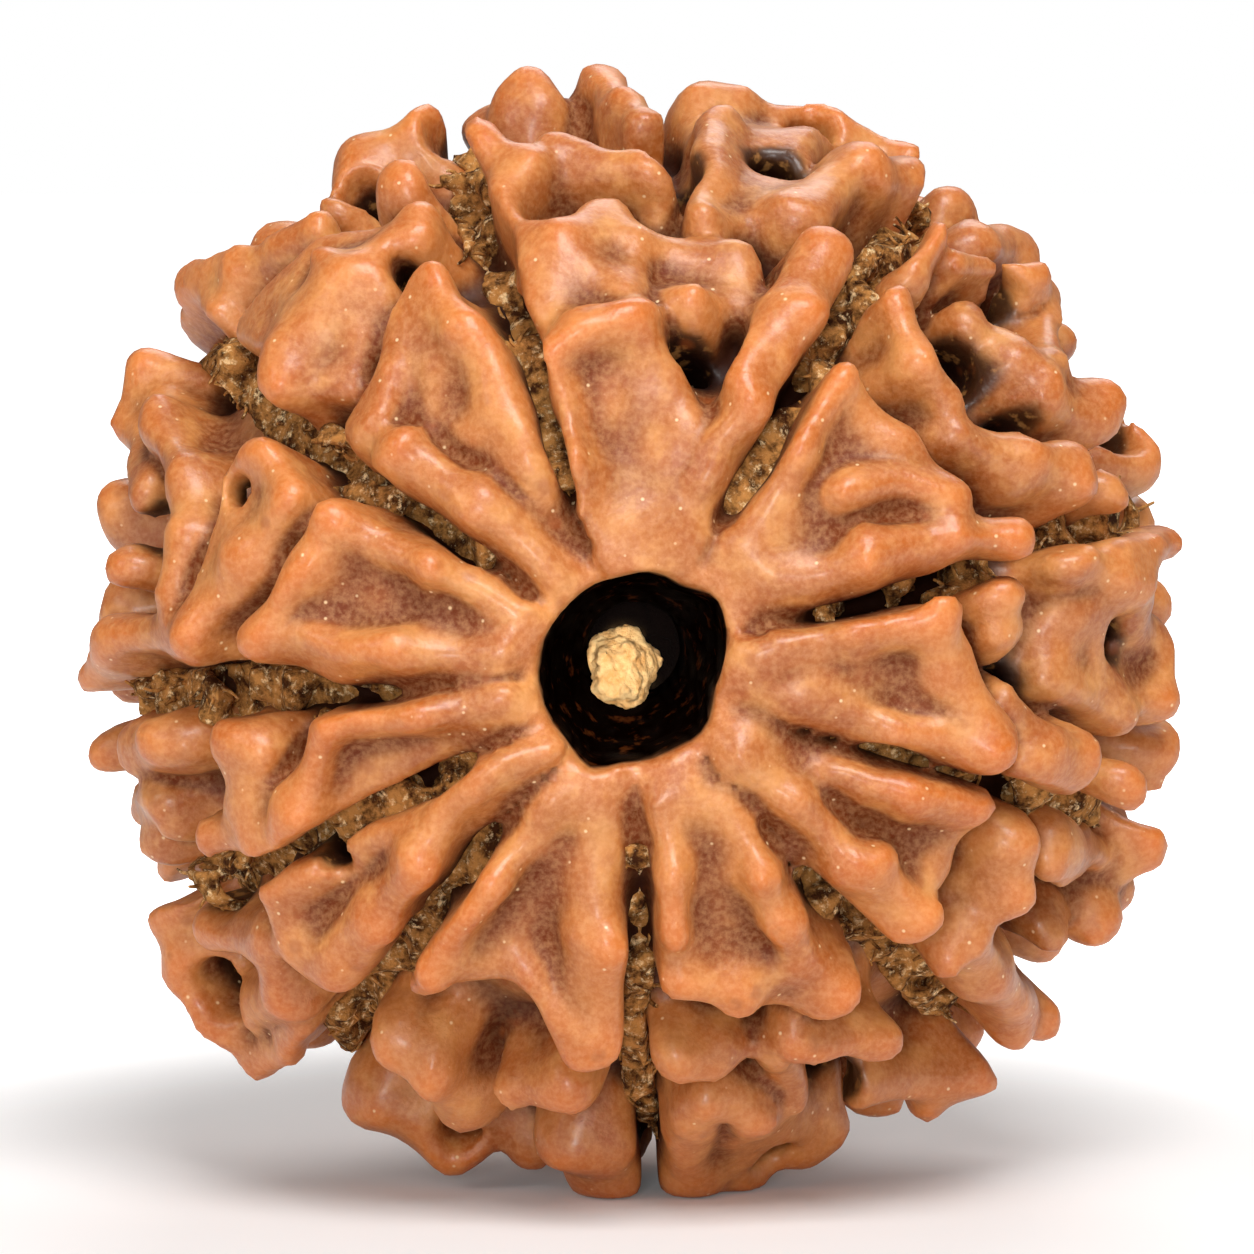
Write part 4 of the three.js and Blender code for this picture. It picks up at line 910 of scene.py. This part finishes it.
def loose_fibres(crust, seed):
    """Thin curled fibres that stand out of the crust, rooted at draws of its own points."""
    draw = np.random.default_rng(seed)
    curve = bpy.data.curves.new("fibres", "CURVE")
    curve.dimensions = "3D"
    curve.bevel_depth = FIBRE_RADIUS * MM
    curve.bevel_resolution = 0
    curve.use_fill_caps = True
    high = [v for v in crust.data.vertices if (v.co / MM - Vector(MIDDLE)).length > FIBRES_FROM]
    for root in draw.choice(high, FIBRES):
        place = root.co / MM - root.normal * FIBRE_ROOT
        way = (root.normal * FIBRE_RISES + Vector(draw.normal(0, FIBRE_TURNS, 3))).normalized()
        curl = Vector(draw.normal(0, FIBRE_TURNS, 3))
        step = draw.uniform(*FIBRE_STEP_LENGTHS)
        line = curve.splines.new("POLY")
        line.points.add(FIBRE_STEPS - 1)
        for i, point in enumerate(line.points):
            point.co = (*(place * MM), 1)
            point.radius = FIBRE_TAPER[0] - FIBRE_TAPER[1] * i / FIBRE_STEPS
            place += way * step
            way = (way + curl - root.normal * FIBRE_DROOPS).normalized()
    fibres = bpy.data.objects.new("fibres", curve)
    bpy.context.scene.collection.objects.link(fibres)
    bpy.ops.object.select_all(action="DESELECT")
    fibres.select_set(True)
    bpy.context.view_layer.objects.active = fibres
    bpy.ops.object.convert(target="MESH")
    crust.select_set(True)
    bpy.context.view_layer.objects.active = crust
    bpy.ops.object.join()


for number in range(len(GROOVES)):
    own = np.where(groove_number == number, pulp_field, CLEAR)
    crust = surface_of(own, f"pulp_crust_{number + 1:02d}", PULP_CRUMB)
    loose_fibres(crust, 50 + number)
    crust.data.materials.append(dried)
    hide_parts(f"pulp_{number + 1:02d}")
    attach(crust, "root")

# Pith: the pale, crumbly plug of dry tissue that is left across the middle of the string hole. It
# grew there, and a thin web of the same tissue still holds it to the wall; away from the plug it is
# coloured near black.
PITH_MIDDLE = np.array([-0.3, -5.6, -0.5])
PITH_RADII = (0.98, 1.1, 1.05)
PITH_LUMPS = ((0.22, 0.6, 21), (0.15, 0.36, 22))  # depth, size, seed
PITH_MEAN_RADIUS = 0.8
PITH_CRUMBS = ((0.45, 0.3), (0.16, 0.14))  # size, depth
WEB_AT = -4.0
WEB_WAVES = 0.5, 0.8
WEB_HALF_THICKNESS = 0.35
WEB_RADIUS = 1.3
WEB_FILLET = 0.2
PLUG_EDGE = 1.5, 1.1
ball = np.sqrt(sum(
    ((line - at) / radius) ** 2 for line, at, radius in zip((X, Y, Z), PITH_MIDDLE, PITH_RADII)
))
pith_field = (ball - 1) * PITH_MEAN_RADIUS
for depth, size, seed in PITH_LUMPS:
    pith_field = pith_field + depth * cloud(size, seed)
from_web = np.abs(Y - WEB_AT + WEB_WAVES[0] * cloud(WEB_WAVES[1], 23))
web = np.maximum(from_web - WEB_HALF_THICKNESS, from_axis - WEB_RADIUS)
pith = surface_of(soft_min(pith_field, web, WEB_FILLET), "pith_plug")
measure(pith, "plug", ease(ball, *PLUG_EDGE))
finish_with(pith, "SUBSURF", levels=2, render_levels=2)
for size, depth in PITH_CRUMBS:
    lumps = bpy.data.textures.new("pith_crumbs", "CLOUDS")
    lumps.noise_scale = size * MM
    finish_with(pith, "DISPLACE", texture=lumps, strength=depth * MM)

pale, tree, shader = new_material("dry_pith")
place = node(tree, "ShaderNodeTexCoord", out="Object")
plug = node(tree, "ShaderNodeAttribute", out="Fac", attribute_name="plug")
paler, darker, crumble = (
    node(tree, "ShaderNodeTexNoise", {
        "Vector": place, "Scale": per_mm(size), "Detail": 4.0, "Roughness": 0.7,
    })
    for size in (0.4, 0.3, 0.15)
)
chalk = linear("E8A860")
for measured, low, high, colour in (
    (paler, 0.3, 0.7, "FAD090"), (darker, 0.68, 0.75, "3A1C0A"), (plug, 1.0, 0.0, "0A0301"),
):
    ends = {"Value": measured, "From Min": low, "From Max": high}
    share = node(tree, "ShaderNodeMapRange", ends, interpolation_type="SMOOTHSTEP")
    chalk = node(tree, "ShaderNodeMix", {0: share, 6: chalk, 7: linear(colour)}, 2, data_type="RGBA")
tree.links.new(chalk, shader.inputs["Base Color"])
shader.inputs["Roughness"].default_value = 0.95
shader.inputs["Specular IOR Level"].default_value = 0.1
bump = node(tree, "ShaderNodeBump", {"Height": crumble, "Strength": 0.8, "Distance": 0.1 * MM})
tree.links.new(bump, shader.inputs["Normal"])
pith.data.materials.append(pale)
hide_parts("pith")
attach(pith, "root")

# The floor: a plain sheet of white paper that the seed lies on. It glows to the camera only, a painted
# light that grows away from the seed, where the shadow ends.
FLOOR_SIDE = 1600
FLOOR_DROP = 0.02
SHADOW_FROM = 16
SHADOW_TO = 45
bpy.ops.object.select_all(action="DESELECT")
bpy.ops.mesh.primitive_plane_add(size=FLOOR_SIDE * MM, location=(0, 0, -FLOOR_DROP * MM))
floor = bpy.context.object
floor.name = "pale_floor"
sheet, tree, shader = new_material("white_paper")
shader.inputs["Base Color"].default_value = linear("F1EFEE")
shader.inputs["Roughness"].default_value = 0.9
place = node(tree, "ShaderNodeTexCoord", out="Object")
from_seed = node(tree, "ShaderNodeVectorMath", {0: place}, "Value", operation="LENGTH")
ends = {"Value": from_seed, "From Min": SHADOW_FROM * MM, "From Max": SHADOW_TO * MM, "To Min": 0.06}
paler = node(tree, "ShaderNodeMapRange", ends, interpolation_type="SMOOTHSTEP")
# painted light: the floor's glow, seen by the camera only
seen = node(tree, "ShaderNodeLightPath", out="Is Camera Ray")
glow = node(tree, "ShaderNodeMapRange", {"Value": seen, "To Max": paler})
shader.inputs["Emission Color"].default_value = (1, 1, 1, 1)
tree.links.new(glow, shader.inputs["Emission Strength"])
floor.data.materials.append(sheet)

# Soft studio light: a broad key above, weaker ones from the left, the front and behind, and a white
# surround. Azimuth goes from the front to the right; distance and size are in metres.
def add_light(name, azimuth, elevation, distance, size, power):
    angle, rise = math.radians(azimuth), math.radians(elevation)
    way = Vector((math.sin(angle) * math.cos(rise), -math.cos(angle) * math.cos(rise), math.sin(rise)))
    light = bpy.data.lights.new(name, "AREA")
    light.size = size
    light.energy = power
    lamp = bpy.data.objects.new(name, light)
    bpy.context.scene.collection.objects.link(lamp)
    lamp.location = Vector(MIDDLE * MM) + way * distance
    lamp.rotation_euler = (-way).to_track_quat("-Z", "Y").to_euler()


add_light("key_above", 10, 50, 0.30, 0.14, 0.82)
add_light("side_left", -50, 25, 0.32, 0.12, 0.16)
add_light("front_fill", -6, 7, 0.4, 0.06, 0.4)
add_light("back_rim", 170, 50, 0.32, 0.2, 0.4)

# A narrow beam along the hole shows the pith
BEAM_DISTANCE = 0.2
beam = bpy.data.lights.new("hole_beam", "SPOT")
beam.energy = 3.0
beam.spot_size = math.radians(0.7)
beam.spot_blend = 0.5
beam.shadow_soft_size = 0.002
lamp = bpy.data.objects.new("hole_beam", beam)
bpy.context.scene.collection.objects.link(lamp)
way = Vector(TOWARDS_VIEW)
lamp.location = Vector(MIDDLE + PITH_MIDDLE) * MM + way * BEAM_DISTANCE
lamp.rotation_euler = (-way).to_track_quat("-Z", "Y").to_euler()

world = bpy.data.worlds.new("white_surround")
world.use_nodes = True
world.node_tree.nodes["Background"].inputs["Color"].default_value = (1, 1, 1, 1)
to_eye = node(world.node_tree, "ShaderNodeLightPath", out="Is Camera Ray")
shown = node(world.node_tree, "ShaderNodeMapRange", {"Value": to_eye, "To Min": 0.2, "To Max": 1.0})
world.node_tree.links.new(shown, world.node_tree.nodes["Background"].inputs["Strength"])
bpy.context.scene.world = world
bpy.context.scene.view_settings.view_transform = "Standard"

# The camera looks a little down, straight along the string hole, through a long lens
PHOTO_SIDE = 1254
PIXELS_PER_MM = 40
PHOTO_HOLE = (634, 668)
LENS = 220
SENSOR = 36
camera_data = bpy.data.cameras.new("front_view")
camera_data.lens = LENS
camera_data.sensor_width = SENSOR
camera = bpy.data.objects.new("front_view", camera_data)
bpy.context.scene.collection.objects.link(camera)
to_right = (PHOTO_SIDE / 2 - PHOTO_HOLE[0]) / PIXELS_PER_MM
upward = (PHOTO_HOLE[1] - PHOTO_SIDE / 2) / PIXELS_PER_MM + HOLE_IN_VIEW
away = Vector(TOWARDS_VIEW)
up = Vector((0, math.sin(VIEW_RISE), math.cos(VIEW_RISE)))
aim = Vector(MIDDLE) + Vector((to_right, 0, 0)) + up * upward
distance = PHOTO_SIDE / PIXELS_PER_MM * LENS / SENSOR
camera.location = (aim + away * distance) * MM
camera.rotation_euler = (-away).to_track_quat("-Z", "Y").to_euler()
camera_data.clip_start = 0.001
bpy.context.scene.camera = camera
